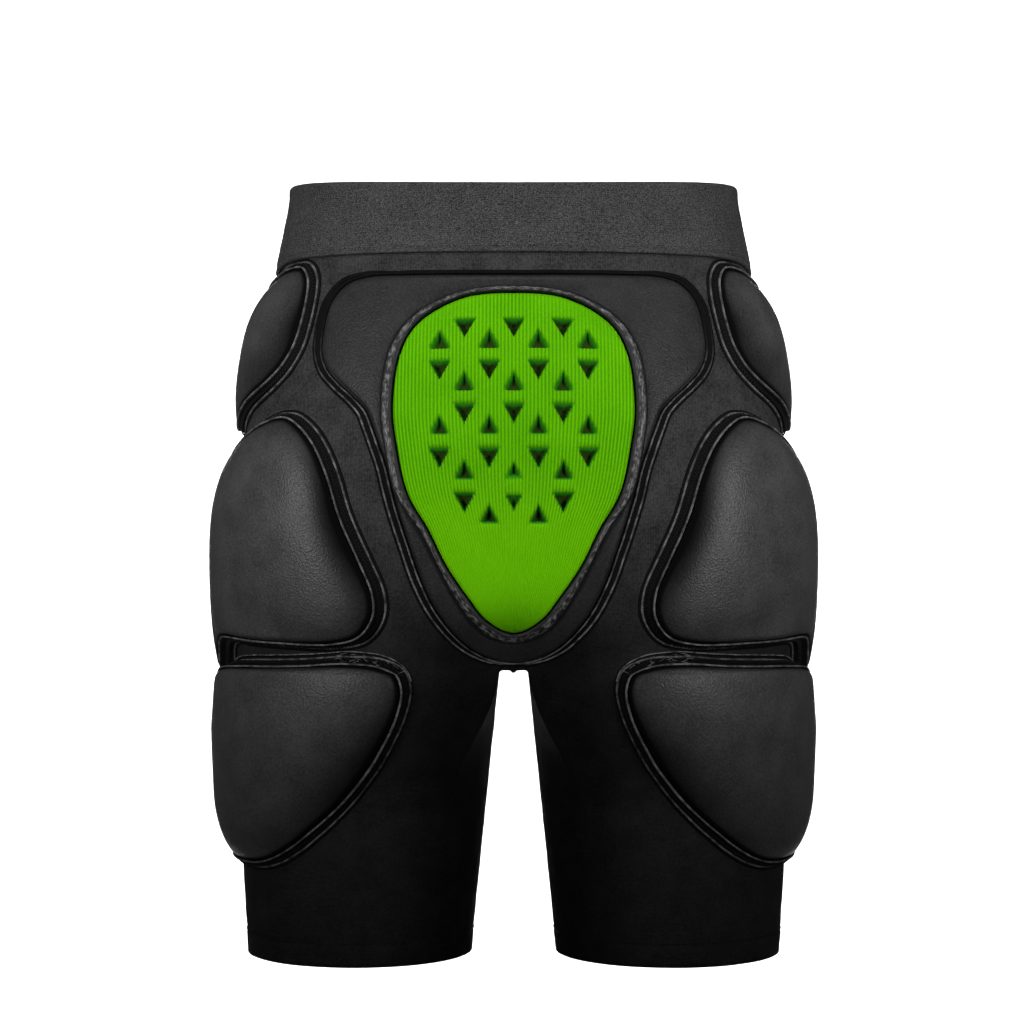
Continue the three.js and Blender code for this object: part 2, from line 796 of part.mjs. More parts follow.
// The green pad in the window, crowned, with its field of triangular dents cut in
function tailboneGeometry() {
  const middle = tailboneEdge.reduce((sum, p) => sum.add(p), new THREE.Vector3());
  middle.divideScalar(tailboneEdge.length);
  const ring = (share, height) =>
    tailboneEdge.map((edge) => {
      const point = edge.clone().lerp(middle, share);
      const inset = share < 1 ? point.distanceTo(edge) : Infinity;
      return onSeat(point.x, point.y, layGap + height(inset));
    });
  const crown = (inset) =>
    tailbonePad.edge +
    (tailbonePad.thickness - tailbonePad.edge) * (1 - Math.exp(-inset / padSoftness));
  const over = [1, 0.62, 0.32, 0.12, 0].map((share) => ring(share, crown));
  const under = [0, 0.28, 0.6, 1].map((share) => ring(share, () => -blankDepth));
  const whole = asManifold(laid(solidOf([...over, ...under], { loop: true })));
  const dents = dentPlaces().map((place) => asManifold(dentCutter(place)));
  return asGeometry(dents.reduce((pad, dent) => pad.subtract(dent), whole));
}

const shorts = new THREE.Group();

function add(name, geometry, material) {
  const mesh = new THREE.Mesh(geometry, material);
  mesh.name = name;
  shorts.add(mesh);
}

// The other side's copy of a piece, facing outwards again
function otherSide(geometry) {
  const copy = geometry.clone().scale(-1, 1, 1);
  copy.setIndex(turnedOver(Array.from(copy.index.array)));
  return copy;
}

add("shorts_body", thickened(sheet, clothThickness), cloth);
add("waistband", waistbandGeometry(), elastic);
add("seat_panel", seatPanelGeometry(), padCloth);
add("seat_panel_rim", seatRimGeometry(), tape);
add("tailbone_frame", frameGeometry(), piping);
add("tailbone_pad", tailboneGeometry(), greenRib);

const sidePads = [
  { name: "hip_pad", pad: hipPad, rows: hipRows },
  { name: "thigh_pad", pad: thighPad, rows: thighRows },
  { name: "lower_thigh_pad", pad: lowerPad, rows: lowerRows },
];
for (const { name, pad, rows } of sidePads) {
  const outline = outlineOf(rows, padPlace(pad), padSteps);
  const foam = padGeometry(pad, outline);
  const rim = rimGeometry(pad, outline);
  add(`${name}_right`, foam, padCloth);
  add(`${name}_left`, otherSide(foam), padCloth);
  add(`${name}_rim_right`, rim, tape);
  add(`${name}_rim_left`, otherSide(rim), tape);
}

export default shorts;
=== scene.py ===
# %% [markdown]
# # Padded compression shorts
# Black stretch shorts for sport, filled out as if worn, with a wide elastic waistband, foam pads on
# the hips and thighs, and a padded seat panel with a green ribbed tailbone pad in its window.
# The CAD frame gives every piece its place. Each one is built again here as cloth over foam, with
# seams, ribs and dents as real shape, and then gets a cloth, tape or piping finish.

# %% Load the frame
import json

import bmesh
import bpy
import numpy as np
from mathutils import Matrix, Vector
from mathutils.kdtree import KDTree

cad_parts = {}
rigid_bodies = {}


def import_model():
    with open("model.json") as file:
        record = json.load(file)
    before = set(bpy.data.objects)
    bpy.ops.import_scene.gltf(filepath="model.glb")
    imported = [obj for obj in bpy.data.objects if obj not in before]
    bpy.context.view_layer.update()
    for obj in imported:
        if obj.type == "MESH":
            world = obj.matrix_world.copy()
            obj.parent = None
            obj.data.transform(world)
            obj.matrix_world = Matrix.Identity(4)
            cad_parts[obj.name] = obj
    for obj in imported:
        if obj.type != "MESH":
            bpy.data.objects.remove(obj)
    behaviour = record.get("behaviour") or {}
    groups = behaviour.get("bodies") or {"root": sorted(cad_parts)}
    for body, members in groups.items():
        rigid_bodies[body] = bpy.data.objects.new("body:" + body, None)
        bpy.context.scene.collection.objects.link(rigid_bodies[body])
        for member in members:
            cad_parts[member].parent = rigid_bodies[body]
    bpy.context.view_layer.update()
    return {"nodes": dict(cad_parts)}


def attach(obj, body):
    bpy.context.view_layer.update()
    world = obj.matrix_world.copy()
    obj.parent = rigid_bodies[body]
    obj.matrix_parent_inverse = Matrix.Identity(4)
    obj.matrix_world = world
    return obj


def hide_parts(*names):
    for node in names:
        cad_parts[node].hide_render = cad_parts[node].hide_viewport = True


bpy.ops.object.select_all(action="SELECT")
bpy.ops.object.delete()
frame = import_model()

# %% [markdown]
# ## The body under the cloth
# Every piece of these shorts follows one curved surface, the body's. It is drawn here once, by the
# same measures as the CAD model has: flat oval sections that flare from the waist to the hips, a
# shallow cleft at the back, and below the crotch two legs whose sections turn round further down.
# All shaping is worked out in millimetres, and becomes metres when a mesh is made.

# %% Measures of the body
BAND_HEIGHT, RISE, BODY_LENGTH, GUSSET_SAG = 40.0, 276.0, 448.0, 5.0
WAIST_HALF, WAIST_BACK, WAIST_FRONT = 131.0, 96.0, 92.0
HIP_HALF, SEAT_DEPTH, BELLY_DEPTH = 165.0, 124.0, 104.0
CROTCH_BACK, CROTCH_FRONT, GUSSET_HALF = 112.0, 98.0, 8.0
THIGH_BACK, THIGH_FRONT, HEM_DEPTH = 94.0, 88.0, 68.0
HEM_OUTER, HEM_INNER = 158.5, 25.5
FULLNESS, HIP_SHARE, HIP_EASE, SEAT_SHARE, BELLY_SHARE = 2.45, 0.77, 1.15, 0.6, 0.5
CLEFT_START, CLEFT_SHARE, CLEFT_SPREAD, THIGH_ROUNDING = 0.8, 0.24, 42.0, 85.0
TOP = BAND_HEIGHT / 2
SEAM = TOP - BAND_HEIGHT
CROTCH = TOP - RISE
HEM = TOP - BODY_LENGTH
THIGH_LEVEL = -220.0
METRE = 0.001


def ease(start, end, value):
    share = np.clip((value - start) / (end - start), 0, 1)
    return share * share * (3 - 2 * share)


def mix(a, b, share):
    return a + (b - a) * share


def unit(vectors):
    return vectors / np.linalg.norm(vectors, axis=-1, keepdims=True)


def travelled(lines):
    """How far along its line each point lies, for one line of points or for many."""
    steps = np.linalg.norm(np.diff(lines, axis=-2), axis=-1)
    return np.concatenate([np.zeros((*steps.shape[:-1], 1)), np.cumsum(steps, -1)], -1)


# %% The body's surface
def as_one(*values):
    return np.broadcast_arrays(*(np.asarray(value, float) for value in values))


def pelvis_point(turn, z):
    share = (TOP - np.maximum(z, CROTCH)) / RISE
    hip_share = np.clip(share / HIP_SHARE, 0, 1) ** HIP_EASE
    half = mix(WAIST_HALF, HIP_HALF, np.sin(np.pi / 2 * hip_share))
    back = mix(WAIST_BACK, SEAT_DEPTH, ease(0, SEAT_SHARE, share))
    back = back - (SEAT_DEPTH - CROTCH_BACK) * ease(SEAT_SHARE, 1.05, share)
    front = mix(WAIST_FRONT, BELLY_DEPTH, ease(0, BELLY_SHARE, share))
    front = front - (BELLY_DEPTH - CROTCH_FRONT) * ease(BELLY_SHARE, 1, share)
    cleft = CLEFT_SHARE * ease(CLEFT_START, 1, share) ** 2
    power = 2 / FULLNESS
    x = half * np.sign(np.sin(turn)) * np.abs(np.sin(turn)) ** power
    depth = np.where(np.cos(turn) > 0, -back, front)
    y = depth * np.abs(np.cos(turn)) ** power * (1 - cleft * np.exp(-((x / CLEFT_SPREAD) ** 2)))
    return np.stack(np.broadcast_arrays(x, y, z), -1)


def leg_measures(z):
    share = np.clip((CROTCH - z) / (CROTCH - HEM), 0, 1)
    return (
        HIP_HALF + (HEM_OUTER - HIP_HALF) * share**2,
        mix(GUSSET_HALF, HEM_INNER, share),
        mix(THIGH_BACK, HEM_DEPTH, share**0.8),
        mix(THIGH_FRONT, HEM_DEPTH, share**0.8),
        ease(0, THIGH_ROUNDING, CROTCH - z),
    )


def rounded(x, y, z):
    outer, inner, back, front, rounding = leg_measures(z)
    centre, half = (outer + inner) / 2, (outer - inner) / 2
    depth = np.where(y > 0, front, back)
    angle = np.arctan2(y / depth, (x - centre) / half)
    points = np.stack(np.broadcast_arrays(x, y, z), -1)
    circle = [centre + half * np.cos(angle), depth * np.sin(angle), z]
    circle = np.stack(np.broadcast_arrays(*circle), -1)
    return mix(points, circle, np.broadcast_to(rounding, points.shape[:-1])[..., None])


def skin(turn, z):
    turn, z = as_one(turn, z)
    high = pelvis_point(turn, z)
    outer, inner = leg_measures(z)[:2]
    x = inner + (high[..., 0] - GUSSET_HALF) * (outer - inner) / (HIP_HALF - GUSSET_HALF)
    return np.where((z < CROTCH)[..., None], rounded(x, high[..., 1], z), high)


def skin_normal(turn, z):
    along = skin(turn + 1e-3, z) - skin(turn - 1e-3, z)
    up = skin(turn, z + 0.5) - skin(turn, z - 0.5)
    return unit(np.cross(along, up))


def raised(turn, z, height):
    return skin(turn, z) + skin_normal(turn, z) * np.asarray(height)[..., None]


half_round = skin(np.linspace(0, np.pi, 200), -200.0)
print("hip girth, mm", round(2 * travelled(half_round)[-1]))

# %% [markdown]
# ## Laying flat shapes on the body
# A tailor cuts a pad flat and sews it on a round body. Two charts do the same here. The side chart
# takes the distance from the side line, above 0 towards the back, and the height. The seat chart
# takes the distance from the middle of the back and the height. Both give the turn round the body.

# %% The two charts
CHART_STEP = 2.0
chart_levels = np.arange(HEM - 2, TOP + 14, CHART_STEP)
chart_turns = np.linspace(0, np.pi, 721)
chart_lengths = travelled(skin(chart_turns[None, :], chart_levels[:, None]))
chart_arcs = np.arange(-240.0, 241.0, 1.0)
side_line = len(chart_turns) // 2
chart_table = np.array(
    [np.interp(lengths[side_line] - chart_arcs, lengths, chart_turns) for lengths in chart_lengths]
)
print("chart of the side", chart_table.shape)


def side_turn(arc, z):
    column = np.clip(arc - chart_arcs[0], 0, len(chart_arcs) - 1.001)
    row = np.clip((z - chart_levels[0]) / CHART_STEP, 0, len(chart_levels) - 1.001)
    i, k = row.astype(int), column.astype(int)
    a = mix(chart_table[i, k], chart_table[i, k + 1], column - k)
    b = mix(chart_table[i + 1, k], chart_table[i + 1, k + 1], column - k)
    return mix(a, b, row - i)


def on_side(arc, z, height):
    arc, z, height = as_one(arc, z, height)
    return raised(side_turn(arc, z), z, height)


def on_seat(x, z, height):
    x, z, height = as_one(x, z, height)
    half = pelvis_point(np.full_like(z, np.pi / 2), z)[..., 0]
    turn = np.arcsin(np.minimum(1, np.abs(x) / half) ** (FULLNESS / 2))
    points = raised(turn, z, height)
    return points * np.where(x < 0, -1, 1)[..., None] ** np.array([1, 0, 0])


# %% [markdown]
# ## From rows of points to meshes
# Soft goods are woven here from rows of points, as a net is: each cell between two rows becomes one
# face. Small creases come from a few long waves laid over each other, always the same ones.

# %% Mesh helpers
def weave(count, length, loop, wrap=False):
    """Faces between rows of points. A loop closes each row, and a wrap joins the last to the first."""
    i, k = np.meshgrid(
        np.arange(count if wrap else count - 1), np.arange(length if loop else length - 1)
    )
    i, k = i.T.ravel(), k.T.ravel()
    j, n = (i + 1) % count, (k + 1) % length
    return np.stack([i * length + k, i * length + n, j * length + n, j * length + k], 1)


def joined(grids):
    """The points and the faces of several woven grids as one."""
    faces, first = [], 0
    for grid in grids:
        faces.append(weave(*grid.shape[:2], False) + first)
        first += grid.shape[0] * grid.shape[1]
    return np.concatenate([grid.reshape(-1, 3) for grid in grids]), np.concatenate(faces)


def placed(name, data):
    made = bpy.data.objects.new(name, data)
    bpy.context.scene.collection.objects.link(made)
    return made


def places_of(mesh):
    """The places of a mesh's points, in metres."""
    co = np.empty(len(mesh.vertices) * 3)
    mesh.vertices.foreach_get("co", co)
    return co.reshape(-1, 3)


def piece_of(name, points, faces, material=None, uv=None, values=None, weld=0.02):
    """A smooth piece from points in millimetres. Equal points are merged, and faces turned out."""
    points = np.asarray(points, float).reshape(-1, 3)
    mesh = bpy.data.meshes.new(name)
    mesh.from_pydata((points * METRE).tolist(), [], np.asarray(faces).tolist())
    if uv is not None:
        corners = np.empty(len(mesh.loops), dtype=np.int32)
        mesh.loops.foreach_get("vertex_index", corners)
        flat = np.asarray(uv, float).reshape(-1, 2)[corners] * METRE
        mesh.uv_layers.new(name="cut").data.foreach_set("uv", flat.ravel())
    for key, numbers in (values or {}).items():
        mesh.attributes.new(key, "FLOAT", "POINT").data.foreach_set("value", np.ravel(numbers))
    work = bmesh.new()
    work.from_mesh(mesh)
    bmesh.ops.remove_doubles(work, verts=work.verts, dist=weld * METRE)
    bmesh.ops.dissolve_degenerate(work, edges=work.edges, dist=1e-7)
    bmesh.ops.recalc_face_normals(work, faces=work.faces)
    work.to_mesh(mesh)
    work.free()
    mesh.polygons.foreach_set("use_smooth", [True] * len(mesh.polygons))
    if material is not None:
        mesh.materials.append(material)
    return placed(name, mesh)


def face_counts(pieces):
    return {piece.name: len(piece.data.polygons) for piece in pieces}


def creases(a, b, size, seed):
    """Soft random waves from -1 to 1 with about the given size in millimetres."""
    draw = np.random.default_rng(seed)
    total = 0
    for _ in range(7):
        angle, phase = draw.uniform(0, 2 * np.pi, 2)
        length = size * draw.uniform(0.6, 1.7)
        total = total + np.sin(2 * np.pi * (a * np.cos(angle) + b * np.sin(angle)) / length + phase)
    return total / 7


def mirrored(name, piece):
    """A copy on the left side, with its own mesh and its faces turned out again."""
    mesh = piece.data.copy()
    mesh.name = name
    mesh.vertices.foreach_set("co", (places_of(mesh) * [-1, 1, 1]).ravel())
    mesh.flip_normals()
    return placed(name, mesh)


# %% [markdown]
# ## Shader sums written as sums
# A finish is easier to read as arithmetic. This class holds one socket, so that a + b adds a Math
# node, and its one method makes every other node.

# %% The wire class
class Wire:
    def __init__(self, tree, socket=None):
        self.tree = tree
        self.socket = socket

    def node(self, kind, settings=None, inputs=None, output=0):
        made = self.tree.nodes.new(kind)
        for name, value in (settings or {}).items():
            if name == "stops":
                ramp = made.color_ramp.elements
                while len(ramp) < len(value):
                    ramp.new(0.5)
                for stop, (place, colour) in zip(ramp, value):
                    stop.position, stop.color = place, (*colour, 1)
            else:
                setattr(made, name, value)
        for name, value in (inputs or {}).items():
            if isinstance(value, Wire):
                self.tree.links.new(value.socket, made.inputs[name])
            else:
                made.inputs[name].default_value = value
        return Wire(self.tree, made.outputs[output] if len(made.outputs) else None)

    def math(self, operation, *values):
        return self.node("ShaderNodeMath", {"operation": operation}, dict(enumerate(values)))

    def __add__(self, other):
        return self.math("ADD", self, other)

    __radd__ = __add__

    def __mul__(self, other):
        return self.math("MULTIPLY", self, other)

    __rmul__ = __mul__

    def __rsub__(self, other):
        return self.math("SUBTRACT", other, self)

    def sine(self):
        return self.math("SINE", self)

    def between(self, low, high):
        return self.node(
            "ShaderNodeMapRange",
            {"interpolation_type": "SMOOTHSTEP"},
            {"Value": self, "From Min": low, "From Max": high},
        )

    def blend(self, a, b):
        """Colour a where this is 0, and b where it is 1."""
        a, b = (end if isinstance(end, Wire) else (*end, 1) for end in (a, b))
        return self.node("ShaderNodeMix", {"data_type": "RGBA"}, {0: self, 6: a, 7: b}, output=2)


DULL = {"Roughness": 0.9, "Specular IOR Level": 0.03}


def finish_of(name, colour, sheen):
    """A new material. colour(start) gives base colour, roughness, bump height, maybe how matte."""
    material = bpy.data.materials.new(name)
    material.use_nodes = True
    tree = material.node_tree
    tree.nodes.clear()
    start = Wire(tree)
    base, roughness, height, *matte = colour(start)
    bump = start.node("ShaderNodeBump", {}, {"Height": height, "Distance": METRE})
    inputs = {"Base Color": base, "Normal": bump}
    shiny = {**inputs, "Roughness": roughness, "Specular IOR Level": sheen}
    shader = start.node("ShaderNodeBsdfPrincipled", {}, shiny)
    if matte:
        dull = start.node("ShaderNodeBsdfPrincipled", {}, {**inputs, **DULL})
        shader = start.node("ShaderNodeMixShader", {}, {0: matte[0], 1: shader, 2: dull})
    start.node("ShaderNodeOutputMaterial", {}, {"Surface": shader})
    return material


# %% [markdown]
# ## Finishes
# All the black cloth is a fine warp knit: thin ribs of loops about one millimetre apart, with a soft
# mottle from stretch. The pads' cloth is drawn tight over foam, so it is smoother and shines a
# little. Real knit is too fine to model loop by loop, so it comes from waves across the flat cut,
# which is why each piece carries its cut as a UV map in metres. Some pieces carry one more number
# at each point, painted shade where a pad turns in to its seam, and the finish is darker and duller
# there. The stretch cloth has painted shade too, low on the legs and on the inner thighs.

# %% What a finish can read
def cut_of(start):
    return start.node("ShaderNodeUVMap", {"uv_map": "cut"})


def place_of(start):
    return start.node("ShaderNodeTexCoord", {}, output=3)


def carried(start, name):
    """A number that the mesh carries at each of its points."""
    return start.node("ShaderNodeAttribute", {"attribute_name": name}, output=2)


def speckle(start, vector, size_mm, detail=2.0):
    inputs = {"Vector": vector, "Scale": 1 / (size_mm * METRE), "Detail": detail}
    return start.node("ShaderNodeTexNoise", {"noise_dimensions": "3D"}, inputs)


def parts_of(start, vector):
    """The x, y and z of a vector."""
    split = start.node("ShaderNodeSeparateXYZ", {}, {"Vector": vector}).socket.node
    return [Wire(start.tree, output) for output in split.outputs]


def stretched_along(start, vector, scale):
    return start.node("ShaderNodeMapping", {}, {"Vector": vector, "Scale": scale})


def phase(coordinate, pitch_mm):
    return coordinate * (2 * np.pi / (pitch_mm * METRE))


def grey(level, blue=0.0):
    return (level, level, level + blue)


# %% Cloth finishes
BLACK = grey(0.001)


def knit(start, rib_mm, loop_mm):
    """Loops of a knit, from 0 to 1: ribs across the cut, with a V in each along it."""
    across, along, _ = parts_of(start, cut_of(start))
    ribs = phase(across, rib_mm).sine()
    loops = (phase(along, loop_mm) + ribs * 1.6).sine()
    return ribs * 0.35 + loops * 0.25 + 0.5


def black_knit(start):
    """Painted shade: darker low on the legs, and darkest and dull on the inner thighs, where no light
    reaches.
    """
    place = place_of(start)
    mottle = speckle(start, place, 14, 4)
    grain = speckle(start, place, 1.3)
    loops = knit(start, 0.95, 0.8)
    flat = stretched_along(start, place, (1.0, 1.0, 4.0))
    ripples = speckle(start, flat, 7, 3) * speckle(start, place, 60, 1).between(0.45, 0.65)
    across, _, height = parts_of(start, place)
    # Painted shade: the cloth gets darker from the seat down the legs.
    high = height.between(-0.25, -0.15) * 0.65 + 0.35
    # Painted shade, darkest and dull: the inner thighs by the crotch.
    inner_thigh_shade = (1 - height.between(-0.26, -0.2)) * (1 - (across * across).between(0.0002, 0.0064))
    tone = (mottle * 0.4 + grain * 0.55 + loops * 0.2).between(0.3, 0.85)
    tone = tone * high * (1 - inner_thigh_shade * 0.6)
    base = tone.blend(grey(0.0015, 0.0001), grey(0.034, 0.0008))
    return base, mottle * 0.1 + 0.68, loops * 0.08 + grain * 0.16 + ripples * 0.9, inner_thigh_shade


def pad_cloth(start):
    place = place_of(start)
    mottle = speckle(start, place, 18, 4)
    grain = speckle(start, place, 1.2)
    pores = start.node("ShaderNodeTexVoronoi", {}, {"Vector": place, "Scale": 900.0})
    shade = carried(start, "shade")
    tone = mottle * 0.35 + grain * 0.6
    base = tone.between(0.2, 0.78).blend(grey(0.017, 0.0004), grey(0.052, 0.001))
    # Painted shade: where the carried shade is high the base goes near black, and the cloth turns dull.
    base = shade.blend(base, grey(0.0015, 0.0001))
    return base, mottle * 0.16 + 0.34, grain * 0.24 + pores * 0.12, shade.between(0.2, 1.0)


def heather(start):
    place = place_of(start)
    along = parts_of(start, cut_of(start))[1]
    flecks = speckle(start, place, 0.62, 2)
    cloud = speckle(start, place, 20, 2)
    ribs = phase(along, 1.1).sine() * 0.5 + 0.5
    tone = flecks * 0.88 + cloud * 0.08 + ribs * 0.04
    base = tone.between(0.38, 0.64).blend(grey(0.006, 0.0002), grey(0.054, 0.0015))
    return base, flecks * 0.1 + 0.62, ribs * 0.1 + flecks * 0.24


# %% Tape, thread and piping finishes
def tape(start):
    """A dull black band, with a paler cord along each edge: a painted highlight, in patches along it.
    """
    place = place_of(start)
    weft = phase(parts_of(start, cut_of(start))[0], 1.3).sine() * 0.5 + 0.5
    grain = speckle(start, place, 0.6)
    mottle = speckle(start, place, 6, 3)
    cord = carried(start, "cord")
    tone = (grain * 0.5 + mottle * 0.5).between(0.3, 0.75)
    band = tone.blend(BLACK, grey(0.0035, 0.0001))
    pale_patches = speckle(start, place, 5, 2).between(0.25, 0.62)
    painted_cord_highlight = (tone * pale_patches).blend(grey(0.02), grey(0.15, 0.002))
    base = cord.between(0.3, 0.9).blend(band, painted_cord_highlight)
    return base, mottle * 0.1 + 0.75, weft * 0.1 + grain * 0.1


def dark_thread(start):
    grain = speckle(start, place_of(start), 0.5)
    return grain.blend(BLACK, grey(0.012)), grain * 0.1 + 0.7, grain * 0.1


def grey_thread(start):
    grain = speckle(start, place_of(start), 0.5)
    pale_patches = speckle(start, place_of(start), 4).between(0.3, 0.65)
    return (grain * pale_patches).blend(grey(0.02), grey(0.22)), grain * 0.1 + 0.7, grain * 0.1


def grained_piping(start):
    """Black, with a painted highlight in streaks along the top of the tube."""
    place = place_of(start)
    crown = carried(start, "crown")
    long = stretched_along(start, cut_of(start), (0.35, 1.6, 1.0))
    streaks = speckle(start, long, 1.1, 3)
    mottle = speckle(start, place, 3.5, 4)
    pale_patches = (streaks.between(0.42, 0.66) * 0.7 + mottle.between(0.42, 0.62) * 0.4) * crown
    base = pale_patches.between(0.1, 1.0).blend(BLACK, grey(0.1, 0.002))
    return base, mottle * 0.25 + 0.42, streaks * 0.25 + mottle * 0.2


finishes = {
    key: finish_of(name, colour, sheen)
    for key, name, colour, sheen in (
        ("black_knit", "black stretch knit", black_knit, 0.12),
        ("pad_cloth", "black pad cloth", pad_cloth, 0.16),
        ("heather", "mottled elastic", heather, 0.12),
        ("tape", "edge tape", tape, 0.07),
        ("thread", "black thread", dark_thread, 0.08),
        ("grey_thread", "worn grey thread", grey_thread, 0.1),
        ("piping", "grained piping", grained_piping, 0.3),
    )
}
print("finishes", list(finishes))

# %% [markdown]
# ## Outlines of the pads
# Each pad's edge is a smooth closed curve through a few points of its pattern, given as shares of its
# reach and height. The curve is stepped evenly, so that seams and stitches come out even too.

# %% Pattern tables
PADS = {}
PADS["hip_pad"] = {
    "steps": 240, "tape_steps": 420, "seed": 11, "tape_seed": 41,
    "drop": 47, "height": 90, "back": 83, "front": 62, "thick": 14.6,
    "edge": (2.5, 8), "middle": (0.14, 0.52),
    "rows": [
        (0, 0.89), (0.4, 0.94), (0.66, 1), (0.83, 1), (0.915, 0.93), (0.955, 0.84), (0.99, 0.66),
        (0.99, 0.49), (0.93, 0.37), (0.8, 0.275), (0.48, 0.155), (0.18, 0.055), (-0.16, 0),
        (-0.52, 0.045), (-0.84, 0.23), (-1, 0.5), (-0.86, 0.79), (-0.44, 0.92),
    ],
}
PADS["thigh_pad"] = {
    "steps": 300, "tape_steps": 560, "seed": 21, "tape_seed": 42,
    "drop": 134, "height": 148, "back": 153, "front": 95, "thick": 17.6,
    "edge": (6, 14), "middle": (0.2, 0.48),
    "rows": [
        (0.61, 1), (0.69, 0.966), (0.77, 0.895), (0.84, 0.786), (0.9, 0.622), (0.967, 0.453),
        (1, 0.344), (0.993, 0.263), (0.935, 0.186), (0.837, 0.158), (0.6, 0.158), (0.22, 0.158),
        (0.1, 0.115), (0.04, 0.05), (-0.1, 0.006), (-0.47, 0), (-0.8, 0.04), (-0.96, 0.173),
        (-1, 0.351), (-0.94, 0.552), (-0.78, 0.708), (-0.45, 0.757), (0, 0.808), (0.26, 0.883),
        (0.484, 0.976),
    ],
}
PADS["lower_thigh_pad"] = {
    "steps": 300, "tape_steps": 520, "seed": 31, "tape_seed": 43,
    "drop": 271, "height": 118, "back": 163, "front": 84, "thick": 17.5,
    "edge": (13.5, 5), "middle": (0.27, 0.58),
    "rows": [
        (1, 0.873), (0.988, 0.945), (0.933, 0.987), (0.834, 1), (0.663, 0.983), (0.282, 0.953),
        (0.18, 0.925), (0.11, 0.885), (0.03, 0.84), (-0.18, 0.82), (-0.6, 0.8), (-0.9, 0.73),
        (-1, 0.57), (-0.93, 0.36), (-0.72, 0.17), (-0.4, 0.055), (0, 0.016), (0.25, 0),
        (0.38, 0.025), (0.485, 0.093), (0.61, 0.22), (0.748, 0.394), (0.883, 0.589),
        (0.975, 0.77),
    ],
}


# %% Smooth, even outlines
def even_steps(curve, count):
    closed = np.vstack([curve, curve[:1]])
    length = travelled(closed)
    at = np.linspace(0, length[-1], count, endpoint=False)
    return np.stack([np.interp(at, length, closed[:, i]) for i in (0, 1)], 1)


def smooth_closed(points, count):
    """An even, smooth closed curve through points: a Catmull-Rom spline with centripetal gaps."""
    points = np.asarray(points, float)
    p0, p1, p2, p3 = (np.roll(points, shift, 0) for shift in (1, 0, -1, -2))
    pairs = ((p0, p1), (p1, p2), (p2, p3))
    before, here, after = (np.sqrt(np.linalg.norm(b - a, axis=1))[:, None] for a, b in pairs)
    start = ((p1 - p0) / before - (p2 - p0) / (before + here) + (p2 - p1) / here) * here
    end = ((p2 - p1) / here - (p3 - p1) / (here + after) + (p3 - p2) / after) * here
    t = np.linspace(0, 1, 40, endpoint=False)[None, :, None]
    p1, p2, start, end = (v[:, None] for v in (p1, p2, start, end))
    a = 2 * t**3 - 3 * t**2 + 1
    curve = a * p1 + (t**3 - 2 * t**2 + t) * start + (1 - a) * p2 + (t**3 - t**2) * end
    return even_steps(curve.reshape(-1, 2), count)


def distance_round(outline):
    return np.linalg.norm(np.roll(outline, 1, 0) - outline, axis=1).sum()


def steps_along(outline):
    """The distance of each point of an even outline from its first one."""
    return np.arange(len(outline)) * np.linalg.norm(outline[1] - outline[0])


def out_of(outline):
    """The direction straight out of an outline at each of its points."""
    along = np.roll(outline, -1, 0) - np.roll(outline, 1, 0)
    normal = unit(np.stack([along[:, 1], -along[:, 0]], 1))
    after = np.roll(outline, -1, 0)
    area = np.sum(outline[:, 0] * after[:, 1] - after[:, 0] * outline[:, 1])
    return normal if area > 0 else -normal


def inset_of(points, outline, batch=4000):
    """Distance of each point to the nearest point of the outline."""
    flat = points.reshape(-1, 2)
    result = np.empty(len(flat))
    for start in range(0, len(flat), batch):
        part = flat[start : start + batch]
        result[start : start + batch] = np.sqrt(((part[:, None] - outline[None]) ** 2).sum(2)).min(1)
    return result.reshape(points.shape[:-1])


def averaged(values, reach):
    """Each value of a closed row averaged with its neighbours, reach of them on either side."""
    count = 2 * reach + 1
    return np.convolve(np.pad(values, reach, "wrap"), np.ones(count) / count, "valid")


# %% The pads' outlines and edges
def pad_outline(pad, count):
    bottom = TOP - pad["drop"] - pad["height"]
    rows = [
        (a * (pad["back"] if a > 0 else pad["front"]), bottom + u * pad["height"])
        for a, u in pad["rows"]
    ]
    return smooth_closed(rows, count)


def facing_back(outline):
    """How much each part of an outline faces the middle of the back, from 0 to 1, without jumps."""
    return averaged(np.maximum(0, out_of(outline)[:, 0]), len(outline) // 12)


def share_down(pad, z):
    return np.clip((TOP - pad["drop"] - z) / pad["height"], 0, 1)


def edge_height(pad, z, back):
    """A pad's edge grows thicker downwards, and is thinner where it faces the middle of the back."""
    return mix(pad["edge"][0], pad["edge"][1], share_down(pad, z)) * mix(1, 0.5, back)


def tape_height(pad, outline):
    """How high the tape's inner cord stands against the pad."""
    return 1.0 + 0.75 * edge_height(pad, outline[:, 1], facing_back(outline))


outlines = {name: pad_outline(pad, pad["steps"]) for name, pad in PADS.items()}
print("pad outlines, mm round", {name: round(distance_round(o)) for name, o in outlines.items()})

# %% [markdown]
# ## Foam pads
# A pad is a thick slab of foam under one piece of cloth, sewn down all round. It rises from the seam
# in a tight round edge, and then swells slowly to its full thickness. Close to the seam the cloth
# puckers a little. Its underside follows the shorts.

# %% Pads on hips and thighs
LAY = 0.35
FOOT_SHARE, FOOT, COVER = 0.72, 0.2, 1.2
TURN, SWELL = (3.5, 8), (15, 22)
PUCKER, PUCKER_RISE, PUCKER_REACH = 5.5, 0.16, 3.5


def quarter_round(inset, radius):
    return np.sqrt(1 - (1 - np.clip(inset / radius, 0, 1)) ** 2)


def calmed(rows, share):
    """Rows averaged along themselves, more and more towards the middle, so that no ridge is left."""
    parts = [min(1.0, 1.6 * float(part)) for part in share[:, 0, 0]]
    return np.array([averaged(row, int(len(row) * 0.15 * part)) for row, part in zip(rows, parts)])


